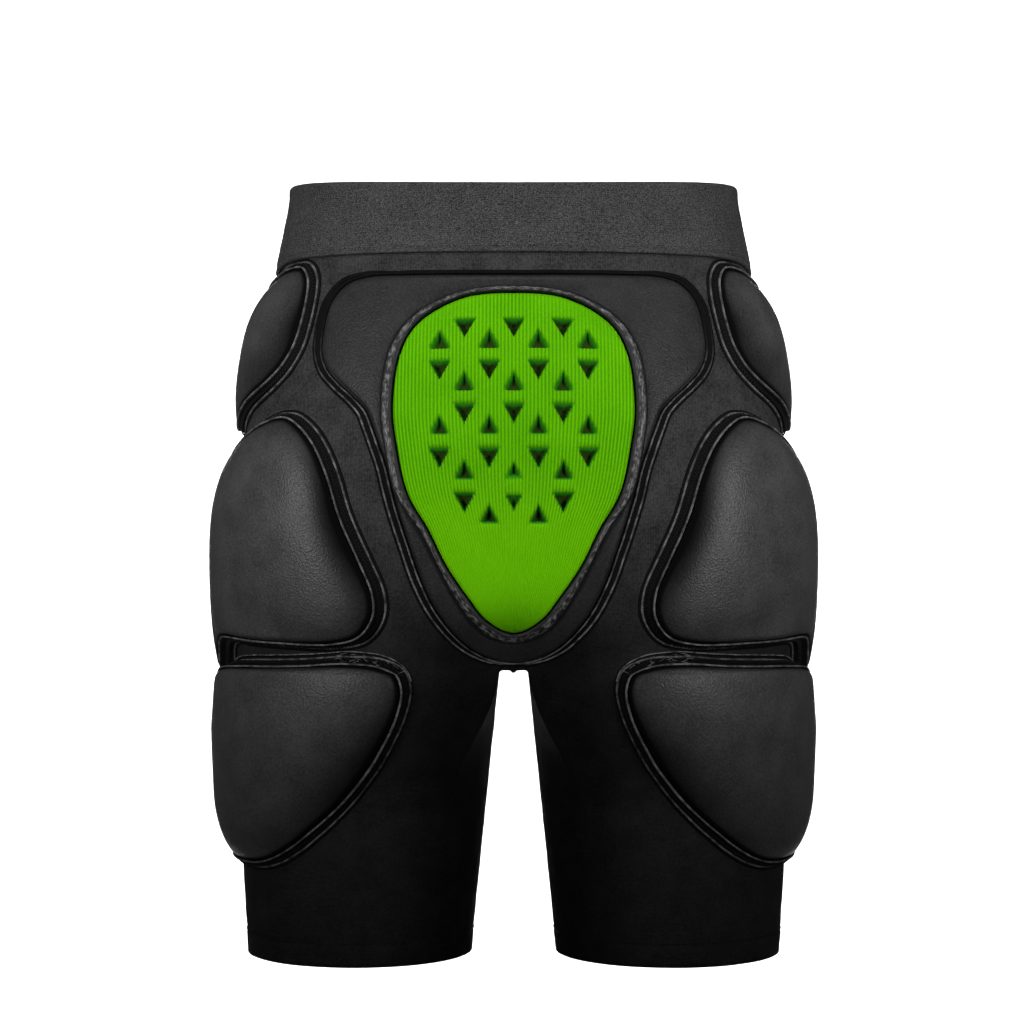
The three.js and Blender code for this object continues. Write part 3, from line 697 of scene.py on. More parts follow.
def dome(name, pad, outline, rings=46):
    """A pad's cloth: rings from its seam to its middle, closed by a few rings underneath."""
    seed, level = pad["seed"], TOP - pad["drop"] - pad["height"] * (1 - pad["middle"][1])
    middle = np.array([pad["middle"][0] * pad["back"], level])
    share = (np.arange(rings + 1) / rings)[:, None, None] ** 1.7
    over = mix(outline[None], middle, share)
    inset = inset_of(over, outline)
    inset[0] = 0
    back = facing_back(outline)
    edge = edge_height(pad, over[..., 1], back)
    foot = FOOT_SHARE * edge + FOOT
    swell = 1 - np.exp(-inset / mix(*SWELL, back))
    height = foot + (edge - foot) * quarter_round(inset, mix(*TURN, back))
    height = height + (pad["thick"] - edge - COVER) * swell
    along = steps_along(outline)
    pucker = np.sin(2 * np.pi * along / PUCKER + 2.2 * creases(along, 0 * along, 30, seed))
    near_seam = np.exp(-inset / PUCKER_REACH) * np.clip(inset / 0.8, 0, 1)
    height = height + PUCKER_RISE * pucker * near_seam
    for rise, size, reach, wave in ((0.45, 42, 12, seed + 1), (0.07, 9, 6, seed + 2)):
        soft = rise * creases(over[..., 0], over[..., 1], size, wave)
        height = height + soft * np.clip(inset / reach, 0, 1)
    height = calmed(calmed(height, share), share)
    height = mix(height, height.mean(1, keepdims=True), ease(0.35, 0.9, share[:, :, 0]))
    under = mix(outline[None], middle, np.array([0, 0.3, 0.65, 1])[:, None, None])
    rows = np.concatenate([over[::-1], under])
    heights = np.concatenate([height[::-1] + LAY, np.full(under.shape[:2], LAY)])
    # Painted shade: a thin dark line along the seam, and a wider darkening on the slopes that face the
    # middle of the back, wider low down.
    dark_reach = mix(8, 27, share_down(pad, over[..., 1]))
    shade = 0.9 * np.exp(-((inset / 2) ** 2)) + 1.15 * back * np.exp(-((inset / dark_reach) ** 1.8))
    shades = np.concatenate([shade[::-1], np.ones(under.shape[:2])])
    points = on_side(rows[..., 0], rows[..., 1], heights)
    faces = weave(len(rows), len(outline), True)
    values = {"lift": heights, "shade": np.clip(shades, 0, 1)}
    return piece_of(name, points, faces, finishes["pad_cloth"], rows, values)


# %% [markdown]
# The foam pushes its cloth out from inside. That is worked out with cloth physics: a coarse copy of
# the pad, its underside held, is blown up gently for twenty frames. The fine cloth then moves with
# it, by no more than the cap, and its sewn edge stays where it is. The dome above is drawn full
# already, so the swelling adds only some tenths of a millimetre, as the printed lines say.


# %% Swelling by cloth simulation
FRAMES, COARSE, HELD_BELOW, PRESSURE = 20, 4.5, 1.5, 4


def search_tree(places):
    tree = KDTree(len(places))
    for index, place in enumerate(places):
        tree.insert(place, index)
    tree.balance()
    return tree


def swollen(piece, cap):
    """Moves the cloth of a pad out as a coarse copy of it swells, by up to cap millimetres."""
    trial = placed("trial", piece.data.copy())
    bpy.ops.object.select_all(action="DESELECT")
    trial.select_set(True)
    bpy.context.view_layer.objects.active = trial
    trial.data.remesh_voxel_size = COARSE * METRE
    bpy.ops.object.voxel_remesh()
    fine, coarse = piece.data, trial.data
    near = search_tree(places_of(fine))
    lift = fine.attributes["lift"].data
    held = [v.index for v in coarse.vertices if lift[near.find(v.co)[1]].value < HELD_BELOW]
    trial.vertex_groups.new(name="held").add(held, 1.0, "REPLACE")
    cloth = trial.modifiers.new("cloth", "CLOTH")
    cloth.settings.use_pressure = True
    cloth.settings.uniform_pressure_force = PRESSURE
    cloth.settings.effector_weights.gravity = 0
    cloth.settings.vertex_group_mass = "held"
    cloth.point_cache.frame_start, cloth.point_cache.frame_end = 1, FRAMES
    rest = places_of(coarse)
    for frame_number in range(1, FRAMES + 1):
        bpy.context.scene.frame_set(frame_number)
    shown = trial.evaluated_get(bpy.context.evaluated_depsgraph_get()).data
    moved = places_of(shown) - rest
    far = np.linalg.norm(moved, axis=1)
    moved *= (np.minimum(far, cap * METRE) / np.maximum(far, 1e-9))[:, None]
    tree = search_tree(rest)
    for vertex in fine.vertices:
        found = tree.find_n(vertex.co, 8)
        weights = np.array([1 / (distance + 0.5 * METRE) ** 2 for _, _, distance in found])
        step = weights @ moved[[index for _, index, _ in found]] / weights.sum()
        vertex.co += Vector(step * float(ease(1.0, 5.0, lift[vertex.index].value)))
    swell = round(float(far.max()) / METRE, 1)
    print(piece.name, "swelled, mm", swell, "held points", len(held), "of", len(rest))
    bpy.data.objects.remove(trial)


# %% Make the three kinds of pad
domes = {name: dome(f"{name}_cloth_right", pad, outlines[name]) for name, pad in PADS.items()}
for piece in domes.values():
    swollen(piece, 2.0)
print("pad faces", face_counts(domes.values()))

# %% [markdown]
# ## Taped rims
# Round each pad runs a band of tape with a thin cord sewn in along both edges. The outer cord lies on
# the shorts and the inner one against the pad, so light catches two fine lines with a dark channel
# between them. The cords are also painted paler, a painted highlight, and a flat black strip of tape
# reaches past the outer cord as a painted shadow on the shorts. One profile is swept round the
# outline, wider at the sides than at the ends.

# %% Rims round the pads
RIM_SIDE, RIM_END, CORD = 6.4, 4.3, 0.55
SUNK, TUCK, WOBBLE = 0.35, 0.6, 0.12
CORD_POINTS = 8


def arc_of(centre_out, centre_up, start, stop):
    """Points of a cord's round top, from a start to a stop angle in degrees, out of the pad first."""
    angles = np.radians(np.linspace(start, stop, CORD_POINTS))
    return [(centre_out + CORD * np.cos(a), centre_up + CORD * np.sin(a)) for a in angles]


def tape_profile(width, inner_height):
    """The tape's section, outer edge first: reach out and height, and which points are cord."""
    flat = 0.0 * width
    # The first points are a flat black strip 1.5 mm past the tape: a painted shadow of the outer cord
    # on the shorts.
    shadow_strip = [(width + 1.5, flat), (width + 0.9, 0.1 + flat), (width + 0.1, flat)]
    outer_cord = arc_of(width - CORD, CORD + flat, 0, 140)
    low = np.maximum(inner_height - 0.5, 0.5)
    channel = []
    for share in (0.04, 0.25, 0.5, 0.75, 0.97):
        sag = 0.45 + 0.25 * np.sin(np.pi * share)
        channel.append((mix(width - 2 * CORD, 2 * CORD + 0.2, share), mix(0.75, low, share) - sag))
    inner_cord = arc_of(CORD + 0.25, inner_height + 0.15, 30, 180)
    inner_edge = [(0.2 + flat, inner_height - 0.8), (0.2 + flat, flat)]
    profile = shadow_strip + outer_cord + channel + inner_cord + inner_edge
    return profile, [0] * 3 + [1] * CORD_POINTS + [0] * 5 + [1] * CORD_POINTS + [0] * 2


def rim(name, outline, chart, width, inner_height, seed, cord_highlight):
    """A band of tape round an outline. The last argument is how pale its cords are painted, point by
    point: a painted highlight.
    """
    normal = out_of(outline)
    along = steps_along(outline)
    wobble = WOBBLE * creases(along, 0 * along, 16, seed)
    profile, is_cord = tape_profile(width, inner_height)
    rows = np.array([outline + normal * (out + wobble)[:, None] for out, _ in profile])
    heights = np.array([up + 0 * width + TUCK for _, up in profile])
    heights[[0, -1]] -= SUNK
    points = chart(rows[..., 0], rows[..., 1], heights)
    across = np.broadcast_to(np.arange(len(profile))[:, None] * 0.6, rows.shape[:2])
    uv = np.stack([np.broadcast_to(along, rows.shape[:2]), across], -1)
    faces = weave(len(rows), len(outline), True, wrap=True)
    values = {"cord": np.array(is_cord)[:, None] * cord_highlight}
    return piece_of(name, points, faces, finishes["tape"], uv, values)


def pad_rim(name, pad):
    outline = pad_outline(pad, pad["tape_steps"])
    width = mix(RIM_END, RIM_SIDE, np.abs(out_of(outline)[:, 0]))
    whole = np.ones(len(outline))
    return rim(name, outline, on_side, width, tape_height(pad, outline), pad["tape_seed"], whole)


rims = {name: pad_rim(f"{name}_tape_right", pad) for name, pad in PADS.items()}
print("rim faces", face_counts(rims.values()))

# %% [markdown]
# ## Seat panel, tailbone pad and frame
# On the back a padded panel covers the seat. Its window holds the green pad, and a frame of grained
# piping covers the seam between the two. Their outlines are symmetric, so a table gives the right
# half from the top down, and every edge is stepped along rays from one middle.

# %% Seat outlines
SEAT_PANEL = {"drop": 53, "height": 217, "half": 107, "thick": 5}
TAILBONE = {"drop": 65, "height": 189, "half": 66, "thick": 12, "edge": 5}
SEAT_MIDDLE, SEAT_STEPS, WINDOW_GAP = 0.55, 420, 0.6
PANEL_ROWS = [
    (0, 1), (0.56, 1), (0.76, 0.997), (0.87, 0.98), (0.95, 0.935), (0.99, 0.866), (1, 0.8),
    (0.972, 0.756), (0.907, 0.717), (0.832, 0.682), (0.766, 0.645), (0.729, 0.6), (0.696, 0.555),
    (0.659, 0.502), (0.607, 0.4), (0.533, 0.286), (0.477, 0.207), (0.411, 0.14), (0.327, 0.083),
    (0.234, 0.039), (0.12, 0.009), (0, 0),
]
TAILBONE_ROWS = [
    (0, 1), (0.44, 0.983), (0.8, 0.908), (0.942, 0.819), (1, 0.663), (0.97, 0.561), (0.873, 0.413),
    (0.706, 0.311), (0.561, 0.208), (0.394, 0.121), (0.227, 0.055), (0, 0.022),
]
FRAME_ROWS = [
    (0, 1.024), (0.5, 1), (0.87, 0.925), (1.04, 0.834), (1.11, 0.722), (1.12, 0.604), (1.07, 0.5),
    (0.95, 0.39), (0.8, 0.318), (0.674, 0.235), (0.56, 0.15), (0.45, 0.085), (0.29, 0.022), (0, -0.004),
]


def seat_outline(rows, piece, count):
    bottom = TOP - piece["drop"] - piece["height"]
    right = [(a * piece["half"], bottom + u * piece["height"]) for a, u in rows]
    return smooth_closed(right + [(-x, z) for x, z in right[-2:0:-1]], count)


def along_rays(outline, count):
    middle = np.array([0, TOP - TAILBONE["drop"] - TAILBONE["height"] * (1 - SEAT_MIDDLE)])
    ray = outline - middle
    angle = np.arctan2(ray[:, 0], ray[:, 1])
    order = np.argsort(angle)
    turns = np.linspace(-np.pi, np.pi, count, endpoint=False)
    length = np.interp(turns, angle[order], np.linalg.norm(ray, axis=1)[order], period=2 * np.pi)
    return middle + np.stack([np.sin(turns), np.cos(turns)], 1) * length[:, None]


def grown(outline, distance):
    return outline + out_of(outline) * np.broadcast_to(distance, len(outline))[:, None]


panel_edge, tailbone_edge, frame_edge = (
    along_rays(seat_outline(rows, piece, 2000), SEAT_STEPS)
    for rows, piece in ((PANEL_ROWS, SEAT_PANEL), (TAILBONE_ROWS, TAILBONE), (FRAME_ROWS, TAILBONE))
)
print("tailbone pad, mm round", round(distance_round(tailbone_edge)))


# %% Seat panel
PANEL_EDGE, PANEL_TURN, PANEL_SWELL = 0.8, 4.5, 1.3


def seat_panel():
    window = grown(tailbone_edge, WINDOW_GAP)
    share = np.linspace(0, 1, 44)[:, None, None]
    share = share + 0.9 * np.sin(2 * np.pi * share) / (-2 * np.pi)
    over = mix(panel_edge[None], window, share)
    outer, inner = inset_of(over, panel_edge), inset_of(over, window)
    outer[0], inner[-1] = 0, 0
    rise = (SEAT_PANEL["thick"] - PANEL_EDGE) * quarter_round(outer, PANEL_TURN)
    frame_groove = 1 - 0.35 * np.exp(-((inner / 6.0) ** 2))
    height = (PANEL_EDGE + rise) * frame_groove
    swell = PANEL_SWELL * (1 - np.exp(-outer / 14)) * (1 - np.exp(-inner / 12))
    waves = [creases(over[..., 0], over[..., 1], size, seed) for size, seed in ((34, 51), (8, 52))]
    soft = 0.35 * waves[0] + 0.08 * waves[1]
    height = height + swell + soft * np.clip(outer / 8, 0, 1) * np.clip(inner / 8, 0, 1)
    under = mix(window[None], panel_edge, np.array([0, 0.33, 0.66, 1])[:, None, None])
    rows = np.concatenate([over, under])
    heights = np.concatenate([height + LAY, np.full(under.shape[:2], LAY)])
    # The carried shade makes the whole panel darker, and adds painted shade low down and along its
    # outer and inner edges.
    low = ease(-90, -230, over[..., 1])
    edges = 0.5 * np.exp(-((outer / 1.5) ** 2)) + 0.5 * np.exp(-((inner / 3) ** 2))
    shades = [np.clip(0.58 + 0.08 * low + edges, 0, 1), np.ones(under.shape[:2])]
    points = on_seat(rows[..., 0], rows[..., 1], heights)
    faces = weave(len(rows), SEAT_STEPS, True)
    values = {"lift": heights, "shade": np.concatenate(shades)}
    return piece_of("seat_panel_cloth", points, faces, finishes["pad_cloth"], rows, values)


panel = seat_panel()

# %% Tape round the seat panel, and the piping frame
PANEL_TAPE, PANEL_TAPE_HEIGHT = (1.5, 5.6), 1.6
PIPE_COUNT, PIPE_SIDES, PIPE_WIDEST = 900, 22, 6.4
PIPE_LEVEL, PIPE_RISE = 2.1, 1.9

fine_panel = even_steps(along_rays(seat_outline(PANEL_ROWS, SEAT_PANEL, 4000), 760), 760)
panel_width = mix(*PANEL_TAPE, np.abs(out_of(fine_panel)[:, 0]) ** 0.7)
# Painted highlight: the cords of the panel's tape are paler low down and dimmer at the top.
panel_cord_highlight = mix(0.3, 1, ease(-48, -130, fine_panel[:, 1]))
tape_level = np.full(len(fine_panel), PANEL_TAPE_HEIGHT)
panel_rim = rim("seat_panel_tape", fine_panel, on_seat, panel_width, tape_level, 44, panel_cord_highlight)


def piping_frame():
    """A soft, wrinkled tube between the window and the frame's outline. Its top carries a painted
    highlight.
    """
    inner = even_steps(grown(tailbone_edge, WINDOW_GAP), PIPE_COUNT)
    outer = along_rays(frame_edge, 4000)
    width = np.sqrt(((inner[:, None] - outer[None]) ** 2).sum(2).min(1))
    width = np.minimum(averaged(width, 12), PIPE_WIDEST)
    normal = out_of(inner)
    along = steps_along(inner)
    wrinkle = 0.2 * creases(along, 0 * along, 3.4, 61) + 0.12 * creases(along, 0 * along, 9, 62)
    rows, heights, crown = [], [], []
    for angle in np.radians(np.linspace(0, 360, PIPE_SIDES, endpoint=False)):
        # Painted highlight: how pale the top of the tube is painted.
        crown.append(np.clip(3.6 * np.sin(angle) - 2.5, 0, 1) + 0 * width)
        out = width / 2 + width / 2 * np.cos(angle)
        up = PIPE_LEVEL + (PIPE_RISE + wrinkle * (np.sin(angle) > 0)) * np.sin(angle)
        rows.append(inner + normal * out[:, None])
        heights.append(up + 0 * width)
    rows = np.array(rows)
    base = LAY + SEAT_PANEL["thick"] * 0.66
    points = on_seat(rows[..., 0], rows[..., 1], np.array(heights) + base)
    shape = rows.shape[:2]
    round_it = np.broadcast_to(np.arange(PIPE_SIDES)[:, None] * 0.7, shape)
    uv = np.stack([np.broadcast_to(along, shape), round_it], -1)
    faces = weave(PIPE_SIDES, PIPE_COUNT, True, wrap=True)
    values = {"crown": np.array(crown)}
    return piece_of("tailbone_piping", points, faces, finishes["piping"], uv, values)


piping = piping_frame()
print("seat faces", face_counts([panel, panel_rim, piping]))

# %% [markdown]
# ## The green tailbone pad
# The window holds a thick foam pad under bright green rib knit. The ribs run down it two millimetres
# apart and lean in with the outline below the widest place. A field of triangular dents is pressed
# in, pointing up and down in turn. Ribs and dents are both real shape, so the pad is a fine net of
# 400 columns. The depth of each point is kept as an attribute, for painted shade in the dents,
# darkest at their bottoms. The rib crests are painted lighter too, and so is the pad low down.

# %% Ribs and dents
RIB_PITCH, RIB_HEIGHT = 2.0, 0.42
DENT_WIDTH, DENT_HEIGHT, DENT_DEPTH = 12.2, 10.6, 6.2
DENT_ACROSS, DENT_DOWN, DENT_SHIFT, DENT_DROP = 13.35, 23.6, 6.3, 20.6
DENT_PAIRS, DENT_COLUMNS, SMALL_DENT = 5, 3, 0.8
KNIT_COLUMNS, KNIT_ROWS, UNDER_COLUMNS = 401, 170, 13


def dent_places():
    """The middle of each dent, which way it points and its size. The last pair is narrower."""
    places = []
    for pair in range(DENT_PAIRS):
        for column in range(-DENT_COLUMNS, DENT_COLUMNS + 1):
            down = (pair + column) % 2 == 0
            z = TOP - TAILBONE["drop"] - DENT_DROP - pair * DENT_DOWN - (0 if down else DENT_SHIFT)
            if not (pair == DENT_PAIRS - 1 and abs(column) == DENT_COLUMNS):
                size = SMALL_DENT if column == 0 and pair >= DENT_PAIRS - 2 else 1.0
                places.append((column * DENT_ACROSS, z, down, size))
    return places


def dent_depth(x, z):
    """Dents whose upper sides slope in softly, while the lower ones are cut in sharply."""
    depth = np.zeros_like(x)
    lean = DENT_HEIGHT / np.hypot(DENT_HEIGHT, DENT_WIDTH / 2)
    for cx, cz, down, size in dent_places():
        u, v = (x - cx) / size, (z - cz) / size
        rise = v + DENT_HEIGHT / 2 if down else DENT_HEIGHT / 2 - v
        side = (rise * DENT_WIDTH / 2 / DENT_HEIGHT - np.abs(u)) * lean
        base = DENT_HEIGHT - rise
        soft, sharp = (base, side) if down else (side, base)
        dip = np.minimum(ease(-0.8, 2.8, soft), ease(-0.4, 0.7, sharp))
        depth = np.maximum(depth, dip * DENT_DEPTH * size)
    return depth


def green_pad():
    outline = seat_outline(TAILBONE_ROWS, TAILBONE, 1600)
    right = outline[outline[:, 0] >= -1e-6]
    right = right[np.argsort(right[:, 1])]
    low, high = right[0, 1], right[-1, 1]
    level = high + (low - high) * (1 - np.cos(np.pi * np.linspace(0, 1, KNIT_ROWS))) / 2
    half = np.interp(level, right[:, 1], right[:, 0])
    half[[0, -1]] = 0
    x = np.linspace(-1, 1, KNIT_COLUMNS)[None, :] * half[:, None]
    z = np.broadcast_to(level[:, None], x.shape)
    inset = inset_of(np.stack([x, z], -1), outline)
    inset[[0, -1]], inset[:, [0, -1]] = 0, 0
    widest = level[np.argmax(half)]
    lean = np.where(level < widest, mix(1, half / half.max(), 0.8), 1)[:, None]
    ribs = 0.5 + 0.5 * np.cos(2 * np.pi * x / np.maximum(lean, 0.25) / RIB_PITCH)
    height = TAILBONE["edge"] - 0.7 + 1.8 * quarter_round(inset, 2.2)
    height = height + (TAILBONE["thick"] - TAILBONE["edge"] - 1.1) * (1 - np.exp(-inset / 16))
    depth = dent_depth(x, z)
    rib_rise = RIB_HEIGHT * ribs * (1 - 0.6 * depth / DENT_DEPTH)
    height = height - depth + rib_rise * np.clip(inset / 2, 0, 1)
    height = height + 0.3 * creases(x, z, 30, 71) * np.clip(inset / 10, 0, 1)
    ridge = ribs * np.clip(1 - depth / DENT_DEPTH, 0, 1)
    return on_seat(x, z, height + LAY), x, z, depth / DENT_DEPTH, ridge


# %% Finish and mesh of the green pad
def green_rib(start):
    place = place_of(start)
    depth, rib = carried(start, "depth"), carried(start, "rib")
    fuzz = speckle(start, place, 0.7, 3)
    cloud = speckle(start, place, 22, 3)
    # Painted light: the pad is lighter low down, and the rib crests lighter, a painted highlight.
    low = parts_of(start, place)[2].between(-0.13, -0.23)
    fuzz_and_painted_light = (rib * 0.42 + fuzz * 0.6 + cloud * 0.25 + low * 0.6).between(0.25, 1.1)
    bright = fuzz_and_painted_light.blend((0.03, 0.175, 0.0004), (0.108, 0.385, 0.0008))
    # Painted shade in the dents: dark green on their slopes, near black at their bottoms.
    slope = depth.between(0.06, 0.5).blend(bright, (0.014, 0.17, 0.006))
    base = depth.between(0.4, 1.0).blend(slope, (0.016, 0.036, 0.004))
    return base, fuzz * 0.1 + 0.8, fuzz * 0.2


finishes["green_rib"] = finish_of("green rib knit", green_rib, 0.03)
knit_top, pad_x, pad_z, dent, rib = green_pad()
under_x = np.linspace(-1, 1, UNDER_COLUMNS) * pad_x[:, -1:]
under_z = np.broadcast_to(pad_z[:, :1], under_x.shape)
knit_under = on_seat(under_x, under_z, np.full(under_x.shape, LAY))
walls = [np.stack([knit_top[:, i], knit_under[:, i]]) for i in (0, -1)]
points, faces = joined([knit_top, knit_under, *walls])
values = {"depth": np.zeros(len(points)), "rib": np.zeros(len(points))}
values["depth"][: dent.size], values["rib"][: rib.size] = dent.ravel(), rib.ravel()
green = finishes["green_rib"]
tailbone = piece_of("tailbone_pad_knit", points, faces, green, values=values, weld=0.004)
print("green pad faces", face_counts([tailbone]), "dents", len(dent_places()))

# %% [markdown]
# ## The shorts themselves
# The stretch cloth shows between the pads. It is woven from the same rows as the CAD body, only finer:
# the pelvis from the waist to the crotch, the outer and the inner side of each leg, and the gusset
# between them. Cloth that is pulled over a body wrinkles a little, most of all just under the waist.
# The hem is folded in and sewn with a line of thread, and a small nub stands where the seams meet
# at the crotch.

# %% Body cloth
HEM_FOLD = 14.0
NUB, NUB_OUT, NUB_REACH = 2.4, 4.4, 3.6
BODY_WELD, CLOTH_THICK = 0.05, 1.8
GUSSET_ENDS = [skin(turn, CROTCH)[1] for turn in (0.0, np.pi)]
edge_turn = float(np.arcsin((GUSSET_HALF / HIP_HALF) ** (FULLNESS / 2)))


def even_turns(steps):
    """Turns from the gusset's back edge to its front edge, even along the cloth."""
    fine = np.linspace(edge_turn, np.pi - edge_turn, 2000)
    length = travelled(skin(fine, THIGH_LEVEL))
    return np.interp(np.linspace(0, length[-1], steps), length, fine)


def inner_thigh(share, row):
    ends = skin(np.array([edge_turn, np.pi - edge_turn]), CROTCH)[:, 1]
    z = mix(CROTCH, HEM, row) - GUSSET_SAG * np.sin(np.pi * share) * (1 - row)
    inner = leg_measures(z)[1]
    return rounded(inner, mix(ends[0], ends[1], share), z)


def along_rows(grid):
    """The flat cut of a grid: the distance along its rows, and the height."""
    return np.stack([travelled(grid), grid[..., 2]], -1)


def body_grids():
    """The right half of the body cloth: pelvis, outer leg, inner leg and half of the gusset."""
    turns = even_turns(141)
    ends = np.linspace(0, edge_turn, 6)[:-1]
    whole = np.concatenate([ends, turns, np.pi - ends[::-1]])
    pelvis = skin(whole[None, :], np.linspace(SEAM + 6, CROTCH, 78)[:, None])
    rows = np.linspace(0, 1, 62)[:, None]
    outer = skin(turns[None, :], mix(CROTCH, HEM, rows))
    inner = inner_thigh(np.linspace(1, 0, 61)[None, :], rows)
    edge = inner[0, ::-1]
    share = np.linspace(0, 1, len(edge))[:, None]
    middle = edge * [0, 0, 1] + mix(*GUSSET_ENDS, share) * [0, 1, 0]
    out = np.linspace(0, 1, 13)
    gusset = mix(middle[:, None], edge[:, None], out[None, :, None])
    arch = 1 - ((out * GUSSET_HALF - NUB_OUT) / NUB_REACH) ** 2
    gusset[..., 2] += NUB * np.sin(np.pi * share) ** 0.5 * np.clip(arch, 0, 1)
    return [pelvis, outer, inner, gusset]


def cloth_height(co):
    x, y, z = co.T
    girth = np.arctan2(x, -y) * 120
    height = 0.14 * creases(girth * 0.45, z, 7, 81) + 0.3 * creases(girth, z * 1.6, 27, 82)
    height = height + 0.3 * creases(girth * 0.25, z, 8, 83) * np.exp(-(((z + 40) / 18) ** 2))
    height = height + 0.4 * ease(HEM + HEM_FOLD + 0.6, HEM + HEM_FOLD - 0.6, z)
    return height - 0.45 * np.exp(-(((z - HEM - HEM_FOLD) / 1.0) ** 2))


def body_cloth():
    grids = [grid * [side, 1, 1] for side in (1, -1) for grid in body_grids()]
    points, faces = joined(grids)
    cut = np.concatenate([along_rows(grid).reshape(-1, 2) for grid in grids])
    piece = piece_of("shorts_cloth", points, faces, finishes["black_knit"], cut, weld=BODY_WELD)
    mesh = piece.data
    co = places_of(mesh)
    normal = np.empty(co.size)
    mesh.vertex_normals.foreach_get("vector", normal)
    normal = normal.reshape(-1, 3)
    outward = np.sign(np.sum(normal[:, :2] * co[:, :2]))
    co = co + normal * outward * cloth_height(co / METRE)[:, None] * METRE
    mesh.vertices.foreach_set("co", co.ravel())
    if outward < 0:
        mesh.flip_normals()
    wall = piece.modifiers.new("wall", "SOLIDIFY")
    wall.thickness, wall.offset = CLOTH_THICK * METRE, -1
    return piece


body = body_cloth()
print("body cloth faces", face_counts([body]))

# %% [markdown]
# ## Waistband
# A wide elastic, knitted double: its top is a soft fold, and its lower edge is sewn over the cloth. It
# stands a little higher at the sides. One seam closes it at the middle of the back, where a short
# bar of thread holds the ends.

# %% Elastic waistband
BAND_OUT, SIDE_LIFT, SIDE_DROP = 2.8, 6.0, 6.0


def band_profile():
    """Height as a share of the band, and reach from the cloth in millimetres, round the section."""
    lower = [(0, 0.9), (0.004, 1.7), (0.02, 2.35), (0.045, 2.3), (0.055, 1.95), (0.065, 2.3)]
    lower.append((0.1, 2.7))
    face = [(share, BAND_OUT) for share in np.linspace(0.13, 0.9, 22)]
    fold = [(0.935, 2.85), (0.965, 2.75), (0.985, 2.4), (0.997, 1.95), (1.0, 1.55), (0.997, 1.1)]
    fold += [(0.985, 0.7), (0.96, 0.45)]
    return lower + face + fold + [(share, 0.3) for share in (0.9, 0.5, 0.15, 0.0)]


def waistband():
    turns = np.linspace(-np.pi, np.pi, 720, endpoint=False)
    side = np.where(turns[:, None] < 0, [-1, 1, 1], [1, 1, 1])
    low = SEAM - SIDE_DROP * np.sin(turns) ** 20
    high = TOP + SIDE_LIFT * np.sin(turns) ** 2
    seam = 0.75 * np.exp(-((turns * 105 / 0.9) ** 2)) - 0.25 * np.exp(-((turns * 105 / 3.5) ** 2))
    rows, uv = [], []
    for share, out in band_profile():
        level = mix(low, high, share)
        wide = creases(turns * 110, level, 16, 91)
        fine = creases(turns * 110, level * 0.3, 4, 92)
        reach = out + (0.22 * wide + 0.1 * fine - seam) * (out > 1.2)
        rows.append(raised(np.abs(turns), level, reach) * side)
        uv.append(np.stack([turns * 115, level], -1))
    rows = np.array(rows)
    faces = weave(*rows.shape[:2], True, wrap=True)
    return piece_of("waistband_elastic", rows, faces, finishes["heather"], np.array(uv), weld=0.001)


band = waistband()
print("waistband faces", face_counts([band]))

# %% [markdown]
# ## Threads
# The tape is sewn on with a zigzag, and the hems with a straight line of stitches. Each stitch is a
# short length of thread that rises over the cloth and dips in at its ends. They are many, so one mesh
# holds a whole seam and each length has four sides. The waistband's seam has a thread and a short
# bar, and the top of each lower pad a last fold that is caught down by rough stitches.


# %% Stitched seams
FLAT = np.array([1, 1, 0])
TAPE_SEWN, TAPE_PITCH = (2.2, 3.9), 2.0
TAPE_THREAD, HEM_THREAD, BAR_THREAD, FOLD_THREAD = 0.24, 0.22, 0.17, 0.42


def threads(name, lines, radius, material):
    """Thin tubes along lines of points in millimetres, an array of (line, point, xyz)."""
    lines = np.asarray(lines, float)
    along = unit(np.gradient(lines, axis=1))
    side = unit(np.cross(along, unit(lines * FLAT)))
    out = np.cross(side, along)
    corners = np.pi / 2 * np.arange(4) + np.pi / 4
    points = np.stack([lines + radius * (out * np.cos(a) + side * np.sin(a)) for a in corners], 2)
    count, length = points.shape[:2]
    one = weave(length, 4, True)
    faces = (one[None] + (np.arange(count) * length * 4)[:, None, None]).reshape(-1, 4)
    return piece_of(name, points, faces, material, weld=0)


def tape_stitches(name, pad, outline):
    """A zigzag over the tape round a pad: each length runs from the low to the high side or back."""
    low, high = TAPE_SEWN
    even = even_steps(outline, int(distance_round(outline) / TAPE_PITCH) * 2)
    alternate = (np.arange(len(even)) % 2)[:, None]
    start = even + out_of(even) * np.where(alternate, high, low)
    share = np.linspace(0.04, 0.96, 4)[None, :, None]
    flat = mix(start[:, None], np.roll(start, -1, 0)[:, None], share)
    across = np.where(alternate[:, 0], high, low) / (RIM_SIDE - CORD)
    ends = mix(tape_height(pad, even), 1.4, across) - 0.15
    share = share[..., 0]
    height = mix(ends[:, None], np.roll(ends, -1)[:, None], share) + 0.4 * np.sin(np.pi * share)
    lines = on_side(flat[..., 0], flat[..., 1], height)
    return threads(name, lines, TAPE_THREAD, finishes["thread"])


stitches = {
    name: tape_stitches(f"{name}_stitches_right", pad, outlines[name]) for name, pad in PADS.items()
}


